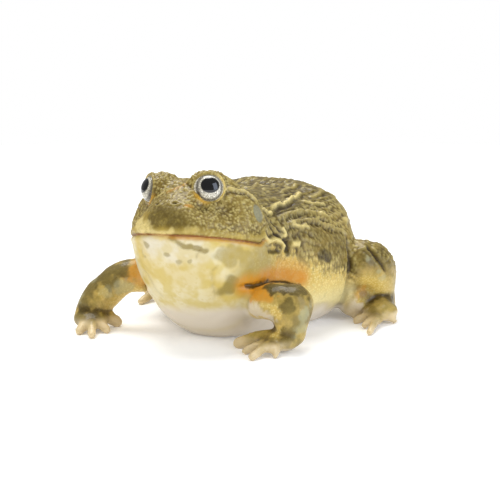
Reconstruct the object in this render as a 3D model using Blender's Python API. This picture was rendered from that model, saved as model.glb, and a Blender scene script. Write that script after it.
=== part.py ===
"""African bullfrog, Pyxicephalus adspersus: a life-size model of an adult male at rest.

The frog faces -Y, its left side is +X, and the floor it rests on is z = 0. The origin lies on
the floor under the middle of the belly. Sizes below are in millimetres and are turned into
metres by MM.
"""

import math

import bmesh
import bpy
import numpy as np
from mathutils import Matrix, Vector

MM = 0.001
GAP = 0.3  # between two nodes that touch

# Driving dimensions of the body.
SNOUT_Y = -84.5
VENT_Y = 69.0
BODY_HALF_WIDTH = 56.5
BODY_HEIGHT = 70.0
HEAD_HALF_WIDTH = 35.0

# Sections of head and body from snout to vent: y, half width, top, bottom, height of the widest
# place. Both end rows are points. Where the bottom is under the floor, the belly is flat.
BODY_SECTIONS = [
    (SNOUT_Y, 0.0, 63.5, 63.5, 63.5),
    (-82.0, 0.365 * HEAD_HALF_WIDTH, 71.0, 49.0, 60.0),
    (-74.0, 0.675 * HEAD_HALF_WIDTH, 76.5, 34.0, 56.0),
    (-62.0, 0.90 * HEAD_HALF_WIDTH, 82.3, 16.0, 52.0),
    (-48.0, 1.04 * HEAD_HALF_WIDTH, 80.5, 3.0, 47.0),
    (-34.0, 1.11 * HEAD_HALF_WIDTH, 1.07 * BODY_HEIGHT, -3.0, 43.0),
    (-17.0, 0.88 * BODY_HALF_WIDTH, 1.03 * BODY_HEIGHT, -6.0, 38.0),
    (2.0, 0.99 * BODY_HALF_WIDTH, BODY_HEIGHT, -7.0, 35.0),
    (22.0, BODY_HALF_WIDTH, BODY_HEIGHT, -7.0, 33.0),
    (42.0, 0.825 * BODY_HALF_WIDTH, 1.015 * BODY_HEIGHT, -4.0, 31.0),
    (58.0, 0.63 * BODY_HALF_WIDTH, 53.0, 7.0, 29.0),
    (67.0, 0.28 * BODY_HALF_WIDTH, 38.0, 19.0, 28.0),
    (VENT_Y, 0.0, 28.0, 28.0, 28.0),
]
# How square a section is: 2 is an ellipse. The snout is a wedge, and the temples and hips are
# square-shouldered.
POWER_AT_Y = (-66.0, -50.0, -44.0, -34.0, 0.0, 20.0, 42.0, 58.0)
UPPER_POWERS = (1.85, 3.2, 3.1, 2.4, 2.2, 2.2, 2.8, 2.2)
BELLY_POWER = 2.3
ROWS_PER_SECTION = 3
SECTION_POINTS = 32

# The head is tipped a little to its right against the body, about a line along the skull.
HEAD_ROLL = math.radians(5.0)
ROLL_HEIGHT = 88.0
ROLL_STARTS_Y = -18.0
ROLL_FULL_Y = -52.0

# Mouth: a plane that falls towards its corner, and the plane that parts head from body.
MOUTH_FRONT = (-83.0, 58.0)
MOUTH_CORNER = (-42.0, 46.5)
NECK_TOP = (-32.0, 88.0)
NECK_BOTTOM = (-56.0, 3.0)

# Eyes, lids, ears and nostrils, given for the frog's left and mirrored.
EYE_RADIUS = 7.4
EYE_CENTRE = (15.1, -62.5, 78.1)
EYE_MOUND_RADII = (9.8, 10.5, 9.3)
EYE_MOUND_SHIFT = (-2.6, 2.2, -1.0)
EYE_AXIS = (0.62, -0.76, 0.18)
LID_RING_RADIUS = 7.0
LID_THICKNESS = 1.15
EAR_RADIUS = 4.7
EAR_THICKNESS = 1.4
EAR_PLACE = (-50.6, 63.0)
EAR_FOLD = [(-56.4, 35.0), (-51.0, 41.5), (-46.6, 49.0), (-44.0, 61.0), (-42.5, 75.0)]
EAR_FOLD_RADIUS = 2.0
NOSTRIL = (5.2, -78.5, 73.5)
NOSTRIL_RADII = (0.8, 1.9, 1.2)
LIP_RADIUS = 1.45

# Skin folds of the back, for each side: start y, end y, angle from the top in degrees, radius.
BACK_FOLDS = [
    (-31.0, -11.0, 13.0, 2.2),
    (-6.0, 18.0, 15.0, 2.3),
    (23.0, 42.0, 16.0, 2.1),
    (-28.0, -3.0, 30.0, 2.5),
    (2.0, 22.0, 32.0, 2.4),
    (27.0, 46.0, 31.0, 2.1),
    (-22.0, 2.0, 47.0, 2.3),
    (7.0, 33.0, 48.0, 2.2),
    (-12.0, 14.0, 63.0, 1.9),
]
FOLD_SUNK = 0.45

# Limbs, as the path of the bone and the radius of the flesh round it at each point.
WRIST_RADIUS = 7.4
THIGH_RADIUS = 17.0
KNEE_RADIUS = 12.3
SHANK_RADIUS = 11.3
ANKLE_RADIUS = 7.0
FINGER_RADIUS = 2.3
THUMB_SWELL = 1.4
TOE_RADIUS = 2.2
PALM_RADII = (9.5, 8.5, 5.4)
SOLE_RADII = (8.5, 10.5, 5.6)
HEEL_SPADE_RADII = (3.2, 5.5, 2.4)

ARMS = {
    "left": {
        "shoulder": (30.0, -46.0, 21.0),
        "middle": (42.0, -49.5, 23.5),
        "elbow": (54.0, -47.0, 22.5),
        "radii": (9.8, 9.3, 10.0),
        "wrist": (53.5, -49.5, 9.5),
        "palm": (50.5, -52.5, 5.4),
        "tips": [(29.5, -56.5), (38.5, -66.0), (46.5, -75.0), (54.5, -66.5)],
    },
    "right": {
        "shoulder": (-33.0, -39.0, 28.5),
        "middle": (-46.0, -44.5, 26.2),
        "elbow": (-56.0, -49.5, 17.0),
        "radii": (9.4, 8.6, 8.8),
        "wrist": (-61.0, -54.0, 8.2),
        "palm": (-58.0, -57.0, 5.2),
        "tips": [(-48.5, -47.5), (-45.5, -62.0), (-45.5, -75.0), (-56.0, -71.0)],
    },
}
LEGS = {
    "left": {
        "hip": (31.0, 47.0, 25.0),
        "middle": (46.0, 38.0, 21.0),
        "knee": (57.5, 27.0, 31.0),
        "ankle": (64.5, 43.0, 10.5),
        "sole": (70.0, 28.0, 5.8),
        "tips": [(56.0, 27.0), (60.0, 18.0), (68.5, 9.0), (76.5, -3.0), (77.5, 27.0)],
    },
    "right": {
        "hip": (-31.0, 48.0, 25.0),
        "middle": (-46.0, 39.5, 21.0),
        "knee": (-59.0, 28.0, 30.0),
        "ankle": (-65.0, 45.0, 10.5),
        "sole": (-66.0, 31.0, 5.8),
        "tips": [(-52.0, 31.0), (-54.5, 22.0), (-59.5, 14.0), (-65.5, 3.0), (-77.0, 28.0)],
    },
}

SKIN_COLOURS = {
    "back": (0.19, 0.17, 0.07),
    "throat": (0.70, 0.63, 0.33),
    "limb": (0.24, 0.23, 0.09),
    "ear": (0.36, 0.34, 0.22),
    "eye": (0.06, 0.06, 0.07),
}


def catmull_rom(padded, per_span):
    """The curve through all rows but the first and last, which give the direction at its ends."""
    spans = len(padded) - 3
    steps = np.arange(per_span * spans + 1) / per_span
    first = np.minimum(steps.astype(int), spans - 1)
    t = (steps - first)[:, None]
    a, b, c, d = (padded[first + k] for k in range(4))
    squared, cubed = 2 * a - 5 * b + 4 * c - d, 3 * b - a - 3 * c + d
    return 0.5 * (2 * b + (c - a) * t + squared * t**2 + cubed * t**3)


def smooth_rows(rows, per_span):
    """Sections read along a curve, whose ends are turned back so that they close round."""
    rows = np.array(rows, float)
    before, after = rows[1].copy(), rows[-2].copy()
    before[1:] = 2 * rows[0, 1:] - rows[1, 1:]
    after[1:] = 2 * rows[-1, 1:] - rows[-2, 1:]
    return catmull_rom(np.vstack([before, rows, after]), per_span)


def curve_through(points, per_span=4):
    """A smooth curve through the points, which runs straight on at its ends."""
    points = np.array(points, float)
    before, after = 2 * points[0] - points[1], 2 * points[-1] - points[-2]
    return catmull_rom(np.vstack([before, points, after]), per_span)


BODY_ROWS = smooth_rows(BODY_SECTIONS, 16)


def section_at(y):
    """Half width, top, bottom and widest height of the body at a place along it."""
    return [np.interp(y, BODY_ROWS[:, 0], BODY_ROWS[:, k]) for k in range(1, 5)]


def upper_power(y):
    """How square the upper half of the section is there."""
    return np.interp(y, POWER_AT_Y, UPPER_POWERS)


def section_point(y, half_width, top, bottom, widest, angle):
    """A point of one section: x and z at an angle measured from the top towards +X."""
    across, up = np.sin(angle), np.cos(angle)
    power = np.where(up > 0, upper_power(y), BELLY_POWER)
    reach = np.where(up > 0, top - widest, widest - bottom)
    x = half_width * np.sign(across) * np.abs(across) ** (2 / power)
    z = widest + reach * np.sign(up) * np.abs(up) ** (2 / power)
    return x, np.maximum(z, 0.0)


def pose_head(points):
    """Tips the points before the neck by a share that grows towards the head."""
    points = np.array(points, float)
    flat = np.atleast_2d(points)
    share = np.clip((ROLL_STARTS_Y - flat[:, 1]) / (ROLL_STARTS_Y - ROLL_FULL_Y), 0, 1)
    roll = HEAD_ROLL * share * share * (3 - 2 * share)
    x, y, z = flat[:, 0], flat[:, 1], flat[:, 2] - ROLL_HEIGHT
    x, z = x * np.cos(roll) - z * np.sin(roll), x * np.sin(roll) + z * np.cos(roll)
    return np.stack([x, y, z + ROLL_HEIGHT], axis=1).reshape(points.shape)


def body_point(y, angle, out=0.0):
    """A point of the skin, or one that far outside it, before the head is posed."""
    step = 0.5
    here = np.array([*section_point(y, *section_at(y), angle)])
    across = np.array([*section_point(y, *section_at(y), angle + 0.02)]) - here
    along = np.array([*section_point(y + step, *section_at(y + step), angle)]) - here
    place = np.array([here[0], y, here[1]])
    normal = np.cross([along[0], step, along[1]], [across[0], 0.0, across[1]])
    return place + out * normal / np.linalg.norm(normal), normal / np.linalg.norm(normal)


def side_point(y, z):
    """The skin's half width at a height, on the left side, before the head is posed."""
    half_width, top, bottom, widest = section_at(y)
    power, reach = (upper_power(y), top - widest) if z > widest else (BELLY_POWER, widest - bottom)
    return half_width * max(0.0, 1 - abs((z - widest) / reach) ** power) ** (1 / power)


def new_object(name, mesh, collection):
    obj = bpy.data.objects.new(name, mesh)
    collection.objects.link(obj)
    return obj


def mesh_from(bm, name):
    """A mesh in metres from a bmesh in millimetres, with its faces turned outwards."""
    bmesh.ops.recalc_face_normals(bm, faces=bm.faces)
    bmesh.ops.scale(bm, vec=(MM, MM, MM), verts=bm.verts)
    mesh = bpy.data.meshes.new(name)
    bm.to_mesh(mesh)
    bm.free()
    return mesh


def body_mesh(name, grown=0.0):
    """The loft of head and body, or the same shape grown outwards all round."""
    rows = smooth_rows(BODY_SECTIONS, ROWS_PER_SECTION)
    angles = np.arange(SECTION_POINTS) * 2 * np.pi / SECTION_POINTS
    x, z = section_point(*(rows[1:-1, k, None] for k in range(5)), angles[None, :])
    y = np.broadcast_to(rows[1:-1, 0, None], x.shape)
    grid = pose_head(np.stack([x, y, z], axis=2).reshape(-1, 3)).reshape(*x.shape, 3)
    ends = pose_head([[0.0, rows[0, 0], rows[0, 4]], [0.0, rows[-1, 0], rows[-1, 4]]])
    bm = bmesh.new()
    rings = [[bm.verts.new(p) for p in row] for row in grid]
    for one, two in zip(rings, rings[1:]):
        for k in range(SECTION_POINTS):
            bm.faces.new((one[k - 1], one[k], two[k], two[k - 1]))
    for ring, end in ((rings[0], ends[0]), (rings[-1], ends[1])):
        tip = bm.verts.new(end)
        for k in range(SECTION_POINTS):
            bm.faces.new((ring[k - 1], ring[k], tip))
    bmesh.ops.recalc_face_normals(bm, faces=bm.faces)
    if grown:
        bm.normal_update()
        for vertex in bm.verts:
            vertex.co += grown * vertex.normal
    return mesh_from(bm, name)


def ball(name, centre, radii, collection, turned=None, rings=10, segments=16):
    """An ellipsoid whose third radius lies along the direction given."""
    bm = bmesh.new()
    bmesh.ops.create_uvsphere(bm, u_segments=segments, v_segments=rings, radius=1.0)
    matrix = Matrix.Diagonal((*radii, 1.0))
    if turned is not None:
        matrix = Vector(turned).to_track_quat("Z", "Y").to_matrix().to_4x4() @ matrix
    bmesh.ops.transform(bm, matrix=Matrix.Translation(Vector(centre)) @ matrix, verts=bm.verts)
    return new_object(name, mesh_from(bm, name), collection)


def flesh(name, path, radii, collection, grown=0.0, per_span=3, roundness=3, bow_angles=(80.0, 45.0)):
    """A limb or fold: a bevelled curve with a radius at each point and a round end at both ends."""
    line = curve_through([(*p, r) for p, r in zip(path, radii)], per_span)
    places, sizes = line[:, :3], line[:, 3] + grown
    lead = (places[0] - places[1]) / np.linalg.norm(places[0] - places[1])
    trail = (places[-1] - places[-2]) / np.linalg.norm(places[-1] - places[-2])
    bows = np.radians(bow_angles)
    head = [(places[0] + lead * sizes[0] * math.sin(b), sizes[0] * math.cos(b)) for b in bows]
    tail = [(places[-1] + trail * sizes[-1] * math.sin(b), sizes[-1] * math.cos(b)) for b in bows[::-1]]
    stations = head + list(zip(places, sizes)) + tail
    data = bpy.data.curves.new(name, "CURVE")
    data.dimensions = "3D"
    data.bevel_depth = MM
    data.bevel_resolution = roundness
    data.use_fill_caps = True
    spline = data.splines.new("POLY")
    spline.points.add(len(stations) - 1)
    for point, (place, size) in zip(spline.points, stations):
        point.co = (*(np.array(place) * MM), 1.0)
        point.radius = size
    curve = new_object(name, data, collection)
    graph = bpy.context.evaluated_depsgraph_get()
    mesh = bpy.data.meshes.new_from_object(curve.evaluated_get(graph))
    bpy.data.objects.remove(curve)
    bm = bmesh.new()
    bm.from_mesh(mesh)
    bmesh.ops.remove_doubles(bm, verts=bm.verts, dist=1e-7)
    bmesh.ops.recalc_face_normals(bm, faces=bm.faces)
    bm.to_mesh(mesh)
    bm.free()
    return new_object(name, mesh, collection)


def fold_roll(name, path, radii, collection):
    """A thin roll of skin along a path on the unposed body, of few sides."""
    return flesh(name, pose_head(path), radii, collection, 0.0, 1, 1, (65.0,))


def block(name, corners_y_z, collection, half_width=120.0):
    """A prism across the body, whose outline is given as (y, z) points in the side view."""
    bm = bmesh.new()
    outline = [bm.verts.new((-half_width, y, z)) for y, z in corners_y_z]
    face = bm.faces.new(outline)
    grown = bmesh.ops.extrude_face_region(bm, geom=[face])
    moved = [v for v in grown["geom"] if isinstance(v, bmesh.types.BMVert)]
    bmesh.ops.translate(bm, verts=moved, vec=(2 * half_width, 0, 0))
    return new_object(name, mesh_from(bm, name), collection)


def keep_largest(mesh):
    """Leaves only the surface that encloses most, so that scraps and sealed hollows go."""
    bm = bmesh.new()
    bm.from_mesh(mesh)
    bmesh.ops.triangulate(bm, faces=bm.faces)
    bmesh.ops.remove_doubles(bm, verts=bm.verts, dist=1e-7)
    left = set(bm.faces)
    parts = []
    while left:
        stack = [left.pop()]
        found = list(stack)
        while stack:
            for edge in stack.pop().edges:
                for face in edge.link_faces:
                    if face in left:
                        left.discard(face)
                        stack.append(face)
                        found.append(face)
        volume = sum(f.verts[0].co.dot(f.verts[1].co.cross(f.verts[2].co)) for f in found)
        parts.append((volume, found))
    parts.sort(key=lambda part: part[0])
    scraps = [face for _, found in parts[:-1] for face in found]
    if scraps:
        bmesh.ops.delete(bm, geom=scraps, context="FACES")
    bm.to_mesh(mesh)
    bm.free()


def combine(obj, others, operation, solver="EXACT"):
    """One Boolean of the object with a collection of closed pieces, applied. The pieces go."""
    helpers = bpy.data.collections.new("helpers")
    bpy.context.scene.collection.children.link(helpers)
    for other in others:
        for owner in list(other.users_collection):
            owner.objects.unlink(other)
        helpers.objects.link(other)
    modifier = obj.modifiers.new(operation.title(), "BOOLEAN")
    modifier.operation = operation
    modifier.operand_type = "COLLECTION"
    modifier.collection = helpers
    modifier.solver = solver
    graph = bpy.context.evaluated_depsgraph_get()
    mesh = bpy.data.meshes.new_from_object(obj.evaluated_get(graph))
    obj.modifiers.remove(modifier)
    keep_largest(mesh)
    obj.data = mesh
    for other in list(helpers.objects):
        bpy.data.objects.remove(other)
    bpy.data.collections.remove(helpers)
    return obj


def fuse(obj, pieces):
    return combine(obj, pieces, "UNION")


def cut(obj, cutters):
    return combine(obj, cutters, "DIFFERENCE")


def copy_of(obj, collection):
    return new_object(obj.name + "_copy", obj.data.copy(), collection)


def below_line(front, back, lowered, far=-200.0):
    """Side-view outline of all that lies under the line through two (y, z) points."""
    slope = (back[1] - front[1]) / (back[0] - front[0])
    ends = (-200.0, 200.0)
    line = [(y, front[1] + slope * (y - front[0]) - lowered) for y in ends]
    return [*line, (ends[1], far), (ends[0], far)]


def behind_line(top, bottom, moved, far=200.0):
    """Side-view outline of all that lies behind the line through two (y, z) points."""
    slope = (top[0] - bottom[0]) / (top[1] - bottom[1])
    heights = (-60.0, 160.0)
    line = [(bottom[0] + slope * (z - bottom[1]) + moved, z) for z in heights]
    return [*line, (far, heights[1]), (far, heights[0])]


def posed_block(name, outline, collection):
    """A cutting block that is tipped with the head."""
    obj = block(name, outline, collection)
    pivot = Matrix.Translation((0, 0, ROLL_HEIGHT * MM))
    obj.data.transform(pivot @ Matrix.Rotation(-HEAD_ROLL, 4, "Y") @ pivot.inverted())
    return obj


def back_folds(collection):
    """The long raised folds of the back, each a tapered roll half sunk in the skin."""
    folds = []
    for side in (1, -1):
        for number, (start, end, angle, radius) in enumerate(BACK_FOLDS):
            shift = 1.5 * math.sin(2.3 * number + side)
            path = []
            for place in np.linspace(start + shift, end + shift, 5):
                bend = angle + 2.0 * math.sin(0.15 * place + number)
                path.append(body_point(place, side * math.radians(bend), -FOLD_SUNK * radius)[0])
            radii = radius * np.array([0.55, 0.95, 1.0, 0.85, 0.5])
            folds.append(fold_roll(f"fold_{side}_{number}", path, radii, collection))
    return folds


def mouth_z(y):
    share = (y - MOUTH_FRONT[0]) / (MOUTH_CORNER[0] - MOUTH_FRONT[0])
    return MOUTH_FRONT[1] + share * (MOUTH_CORNER[1] - MOUTH_FRONT[1])


def lip(name, raised, collection):
    """A roll along the edge of the mouth, from one corner round the snout to the other."""
    places = np.radians(np.linspace(-84, 84, 17))
    path = []
    for place in places:
        y = MOUTH_CORNER[0] + (SNOUT_Y + 1.0 - MOUTH_CORNER[0]) * math.cos(place)
        z = mouth_z(y) + raised
        path.append((math.copysign(side_point(y, z) - 0.6 * LIP_RADIUS, place), y, z))
    radii = np.full(len(path), LIP_RADIUS)
    radii[[0, -1]] *= 0.5
    return fold_roll(name, path, radii, collection)


def ear_fold(side, collection):
    """The fold from the eye's back corner over the ear drum and down behind it."""
    path = []
    for y, angle in EAR_FOLD:
        path.append(body_point(y, side * math.radians(angle), -0.4 * EAR_FOLD_RADIUS)[0])
    radii = EAR_FOLD_RADIUS * np.array([0.6, 0.9, 1.0, 0.95, 0.6])
    return fold_roll(f"ear_fold_{side}", path, radii, collection)


def mirrored(point, side):
    return (side * point[0], point[1], point[2])


def eye_mound(side, collection):
    centre = pose_head(mirrored(EYE_CENTRE, side)) + np.array(mirrored(EYE_MOUND_SHIFT, side))
    return ball(f"mound_{side}", centre, EYE_MOUND_RADII, collection)


def lid_ring(side, collection):
    """The rim of both lids: a ring round the eye, where it leaves its socket."""
    axis = Vector(mirrored(EYE_AXIS, side)).normalized()
    out = math.sqrt((EYE_RADIUS + LID_THICKNESS * 0.4) ** 2 - LID_RING_RADIUS**2)
    centre = pose_head(mirrored(EYE_CENTRE, side)) + out * np.array(axis)
    around = axis.to_track_quat("Z", "Y").to_matrix()
    path = []
    for angle in np.linspace(0, 2 * np.pi, 17)[:-1]:
        spoke = around @ Vector((math.cos(angle), math.sin(angle), 0.0))
        path.append(centre + LID_RING_RADIUS * np.array(spoke))
    name = f"lid_{side}"
    data = bpy.data.curves.new(name, "CURVE")
    data.dimensions = "3D"
    data.bevel_depth = LID_THICKNESS * MM
    data.bevel_resolution = 1
    spline = data.splines.new("POLY")
    spline.points.add(len(path) - 1)
    spline.use_cyclic_u = True
    for point, place in zip(spline.points, path):
        point.co = (*(place * MM), 1.0)
    curve = new_object(name, data, collection)
    graph = bpy.context.evaluated_depsgraph_get()
    mesh = bpy.data.meshes.new_from_object(curve.evaluated_get(graph))
    bpy.data.objects.remove(curve)
    return new_object(name, mesh, collection)


def ear_seat(side):
    """Centre and outward direction of the ear drum on the cheek."""
    y, z = EAR_PLACE
    reach = side_point(y, z)
    ahead, above = side_point(y + 1.0, z), side_point(y, z + 1.0)
    outward = np.array([1.0, reach - ahead, reach - above])
    centre = pose_head((side * reach, y, z))
    tip = pose_head(np.array([side * (reach + outward[0]), y + outward[1], z + outward[2]]))
    return centre, (tip - centre) / np.linalg.norm(tip - centre)


def head_and_body(parts, cutters):
    """Head, lower jaw with throat, and torso, parted from one loft, with all that is fused on."""
    whole = new_object("torso", body_mesh("torso"), parts)
    pieces = back_folds(cutters)
    for side in (1, -1):
        pieces += [eye_mound(side, cutters), lid_ring(side, cutters), ear_fold(side, cutters)]
    pieces += [lip("upper_lip", 1.7, cutters), lip("lower_lip", -1.9, cutters)]
    fuse(whole, pieces)
    front = copy_of(whole, cutters)
    torso = cut(whole, [before_neck(cutters)])
    cut(front, [block("behind", behind_line(NECK_TOP, NECK_BOTTOM, -GAP / 2), cutters)])
    jaw = copy_of(front, cutters)
    jaw = rename(cut(jaw, [above_mouth(cutters)]), "jaw_throat", parts)
    lower = posed_block("under", below_line(MOUTH_FRONT, MOUTH_CORNER, -GAP / 2), cutters)
    head = rename(cut(front, [lower]), "head", parts)
    sockets = []
    for side, word in ((1, "left"), (-1, "right")):
        centre = pose_head(mirrored(EYE_CENTRE, side))
        sockets.append(eyeball(f"socket_{word}", centre, side, GAP, cutters))
        nostril = pose_head(mirrored(NOSTRIL, side))
        sockets.append(ball(f"nostril_{word}", nostril, NOSTRIL_RADII, cutters, (0.5 * side, -1, 0.6), 6, 8))
        seat, outward = ear_seat(side)
        radii = (EAR_RADIUS + GAP, EAR_RADIUS + GAP, EAR_THICKNESS + GAP)
        sockets.append(ball(f"ear_seat_{word}", seat, radii, cutters, outward, 6, 12))
    cut(head, sockets)
    return head, jaw, torso


def before_neck(cutters):
    outline = [(y if abs(y) < 190 else -y, z) for y, z in behind_line(NECK_TOP, NECK_BOTTOM, GAP / 2)]
    return block("before", outline, cutters)


def above_mouth(cutters):
    outline = below_line(MOUTH_FRONT, MOUTH_CORNER, GAP / 2, 200.0)
    return posed_block("over", outline, cutters)


def rename(obj, name, collection):
    for owner in list(obj.users_collection):
        owner.objects.unlink(obj)
    collection.objects.link(obj)
    obj.name = name
    return obj


def eyeball(name, centre, side, grown, collection):
    radius = EYE_RADIUS + grown
    return ball(name, centre, (radius, radius, radius), collection, mirrored(EYE_AXIS, side))


def eyes_and_ears(parts):
    made = []
    for side, word in ((1, "left"), (-1, "right")):
        centre = pose_head(mirrored(EYE_CENTRE, side))
        made.append(eyeball(f"eye_{word}", centre, side, 0.0, parts))
        seat, outward = ear_seat(side)
        radii = (EAR_RADIUS, EAR_RADIUS, EAR_THICKNESS)
        made.append(ball(f"ear_{word}", seat, radii, parts, outward, 6, 12))
    return made


def floor_cutter(collection):
    return block("floor", [(-200, 0), (200, 0), (200, -100), (-200, -100)], collection, 200.0)


def upper_arm(word, collection, grown=0.0):
    path = [ARMS[word][place] for place in ("shoulder", "middle", "elbow")]
    return flesh(f"upper_arm_{word}", path, ARMS[word]["radii"], collection, grown)


def forearm(word, collection, grown=0.0):
    arm = ARMS[word]
    elbow, wrist = np.array(arm["elbow"], float), np.array(arm["wrist"], float)
    path = [elbow, (elbow + wrist) / 2 - (0, 1.0, 0), wrist]
    elbow_radius = ARMS[word]["radii"][-1]
    radii = (1.03 * elbow_radius, 0.95 * elbow_radius, WRIST_RADIUS)
    return flesh(f"forearm_{word}", path, radii, collection, grown)


def digit(name, root, tip, radius, arch, collection):
    """A finger or toe: thick at the root, arched a little, and blunt where it touches the floor."""
    root, tip = np.array(root, float), np.array([*tip, radius * 0.78])
    knuckle = 0.62 * root + 0.38 * tip + (0, 0, arch)
    joint = 0.25 * root + 0.75 * tip + (0, 0, 0.5 * arch)
    radii = radius * np.array([1.4, 1.15, 1.0, 0.92])
    return flesh(name, [root, knuckle, joint, tip], radii, collection, 0.0, 1, 2, (60.0,))


def hand(word, collection):
    """Palm, wrist and four fingers, the inner one swollen as on a male in the breeding season."""
    arm = ARMS[word]
    palm, wrist = np.array(arm["palm"], float), np.array(arm["wrist"], float)
    pieces = [ball("palm", palm, PALM_RADII, collection)]
    pieces.append(flesh("wrist", [wrist, palm], (WRIST_RADIUS, 0.75 * WRIST_RADIUS), collection))
    for number, tip in enumerate(arm["tips"]):
        reach = np.array([*tip, 0.0]) - (palm[0], palm[1], 0.0)
        thumb = number == 0
        root = palm + 0.28 * reach + (0, 0, 1.0 if thumb else -1.4)
        radius = FINGER_RADIUS * (THUMB_SWELL if thumb else 1.0)
        pieces.append(digit(f"finger_{number}", root, tip, radius, 1.2, collection))
    return pieces


def foot(word, collection):
    """Sole, heel spade and five toes, the fourth the longest, as on this burrowing frog."""
    leg = LEGS[word]
    side = 1 if word == "left" else -1
    sole, ankle = np.array(leg["sole"], float), np.array(leg["ankle"], float)
    pieces = [ball("sole", sole, SOLE_RADII, collection)]
    pieces.append(flesh("heel", [ankle - (0, 0, 3), sole], (ANKLE_RADIUS, 6.0), collection))
    spade = sole + (-7.0 * side, 6.0, -3.0)
    pieces.append(ball("spade", spade, HEEL_SPADE_RADII, collection, segments=12, rings=8))
    for number, tip in enumerate(leg["tips"]):
        reach = np.array([*tip, 0.0]) - (sole[0], sole[1], 0.0)
        root = sole + 0.26 * reach - (0, 0, 2.2)
        pieces.append(digit(f"toe_{number}", root, tip, TOE_RADIUS, 1.0, collection))
    return pieces


def thigh(word, collection, grown=0.0):
    path = [LEGS[word][place] for place in ("hip", "middle", "knee")]
    radii = (THIGH_RADIUS, THIGH_RADIUS, KNEE_RADIUS)
    return flesh(f"thigh_{word}", path, radii, collection, grown)


def shank(word, collection, grown=0.0):
    leg = LEGS[word]
    side = 1 if word == "left" else -1
    knee, ankle = np.array(leg["knee"], float), np.array(leg["ankle"], float)
    start = knee + (4.0 * side, 4.0, -1.0)
    middle = (knee + ankle) / 2 + (2.0 * side, 1.0, 3.0)
    radii = (KNEE_RADIUS, SHANK_RADIUS, ANKLE_RADIUS)
    return flesh(f"shank_{word}", [start, middle, ankle], radii, collection, grown)


def limbs(parts, cutters):
    """Each limb piece is cut clear of the one it grows from, so that they meet face to face."""
    made = []
    for word in ("left", "right"):
        body = new_object("grown_body", body_mesh("grown_body", GAP), cutters)
        made.append(cut(upper_arm(word, parts), [body]))
        body = new_object("grown_body", body_mesh("grown_body", GAP), cutters)
        made.append(cut(forearm(word, parts), [upper_arm(word, cutters, GAP), body]))
        pieces = hand(word, cutters)
        palm = rename(fuse(pieces[0], pieces[1:]), f"hand_{word}", parts)
        body = new_object("grown_body", body_mesh("grown_body", GAP), cutters)
        made.append(cut(palm, [forearm(word, cutters, GAP), floor_cutter(cutters), body]))
        body = new_object("grown_body", body_mesh("grown_body", GAP), cutters)
        made.append(cut(thigh(word, parts), [body]))
        body = new_object("grown_body", body_mesh("grown_body", GAP), cutters)
        made.append(cut(shank(word, parts), [thigh(word, cutters, GAP), body]))
        pieces = foot(word, cutters)
        sole = rename(fuse(pieces[0], pieces[1:]), f"foot_{word}", parts)
        body = new_object("grown_body", body_mesh("grown_body", GAP), cutters)
        clear = [shank(word, cutters, GAP), thigh(word, cutters, GAP), floor_cutter(cutters), body]
        made.append(cut(sole, clear))
    return made


def give_skin(obj):
    """A wet skin of the colour that this part of the frog mostly has."""
    name = obj.name
    kind = "eye" if name.startswith("eye") else "ear" if name.startswith("ear") else "limb"
    if name in ("head", "torso"):
        kind = "back"
    if name == "jaw_throat":
        kind = "throat"
    material = bpy.data.materials.new(name + "_skin")
    material.use_nodes = True
    shader = material.node_tree.nodes["Principled BSDF"]
    shader.inputs["Base Color"].default_value = (*SKIN_COLOURS[kind], 1.0)
    shader.inputs["Roughness"].default_value = 0.08 if kind == "eye" else 0.38
    shader.inputs["Metallic"].default_value = 0.0
    obj.data.materials.clear()
    obj.data.materials.append(material)
    obj.data.shade_smooth()


def main():
    for obj in list(bpy.data.objects):
        bpy.data.objects.remove(obj)
    parts = bpy.data.collections.new("african_bullfrog")
    cutters = bpy.data.collections.new("cutters")
    for collection in (parts, cutters):
        bpy.context.scene.collection.children.link(collection)
    cutters.hide_render = True
    head_and_body(parts, cutters)
    eyes_and_ears(parts)
    limbs(parts, cutters)
    for obj in parts.objects:
        give_skin(obj)


main()
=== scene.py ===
"""The looks of an adult male African bullfrog at rest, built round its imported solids.

The solids give place and size. One skin with lids, lips, folds and warts stands for all the
flesh, and two eyeballs sit in it. The frog faces -Y, its left side is +X, and it rests on z = 0.
Sizes are in millimetres until a mesh is made.
"""

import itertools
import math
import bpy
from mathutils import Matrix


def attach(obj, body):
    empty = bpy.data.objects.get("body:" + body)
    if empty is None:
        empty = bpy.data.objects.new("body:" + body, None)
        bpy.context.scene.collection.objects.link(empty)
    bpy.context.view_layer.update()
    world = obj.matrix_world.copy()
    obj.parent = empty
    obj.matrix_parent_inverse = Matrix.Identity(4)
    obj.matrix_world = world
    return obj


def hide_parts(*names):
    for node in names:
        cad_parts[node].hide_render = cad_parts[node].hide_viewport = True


bl_info = {
    "name": "African Bullfrog",
    "version": (1, 0, 0),
    "blender": (4, 5, 0),
    "location": "3D Viewport > Sidebar > Bullfrog",
    "description": "Skin, eyes and stage of a life-size African bullfrog",
    "category": "Object",
}

import bmesh
import bpy
import numpy as np
from mathutils import Vector
from mathutils.bvhtree import BVHTree

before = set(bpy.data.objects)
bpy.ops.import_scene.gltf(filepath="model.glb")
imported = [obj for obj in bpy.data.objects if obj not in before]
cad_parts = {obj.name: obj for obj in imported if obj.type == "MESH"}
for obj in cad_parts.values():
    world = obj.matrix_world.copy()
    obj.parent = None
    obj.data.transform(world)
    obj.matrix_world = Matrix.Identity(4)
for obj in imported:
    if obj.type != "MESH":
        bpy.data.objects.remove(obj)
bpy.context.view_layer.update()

MM = 0.001

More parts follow.
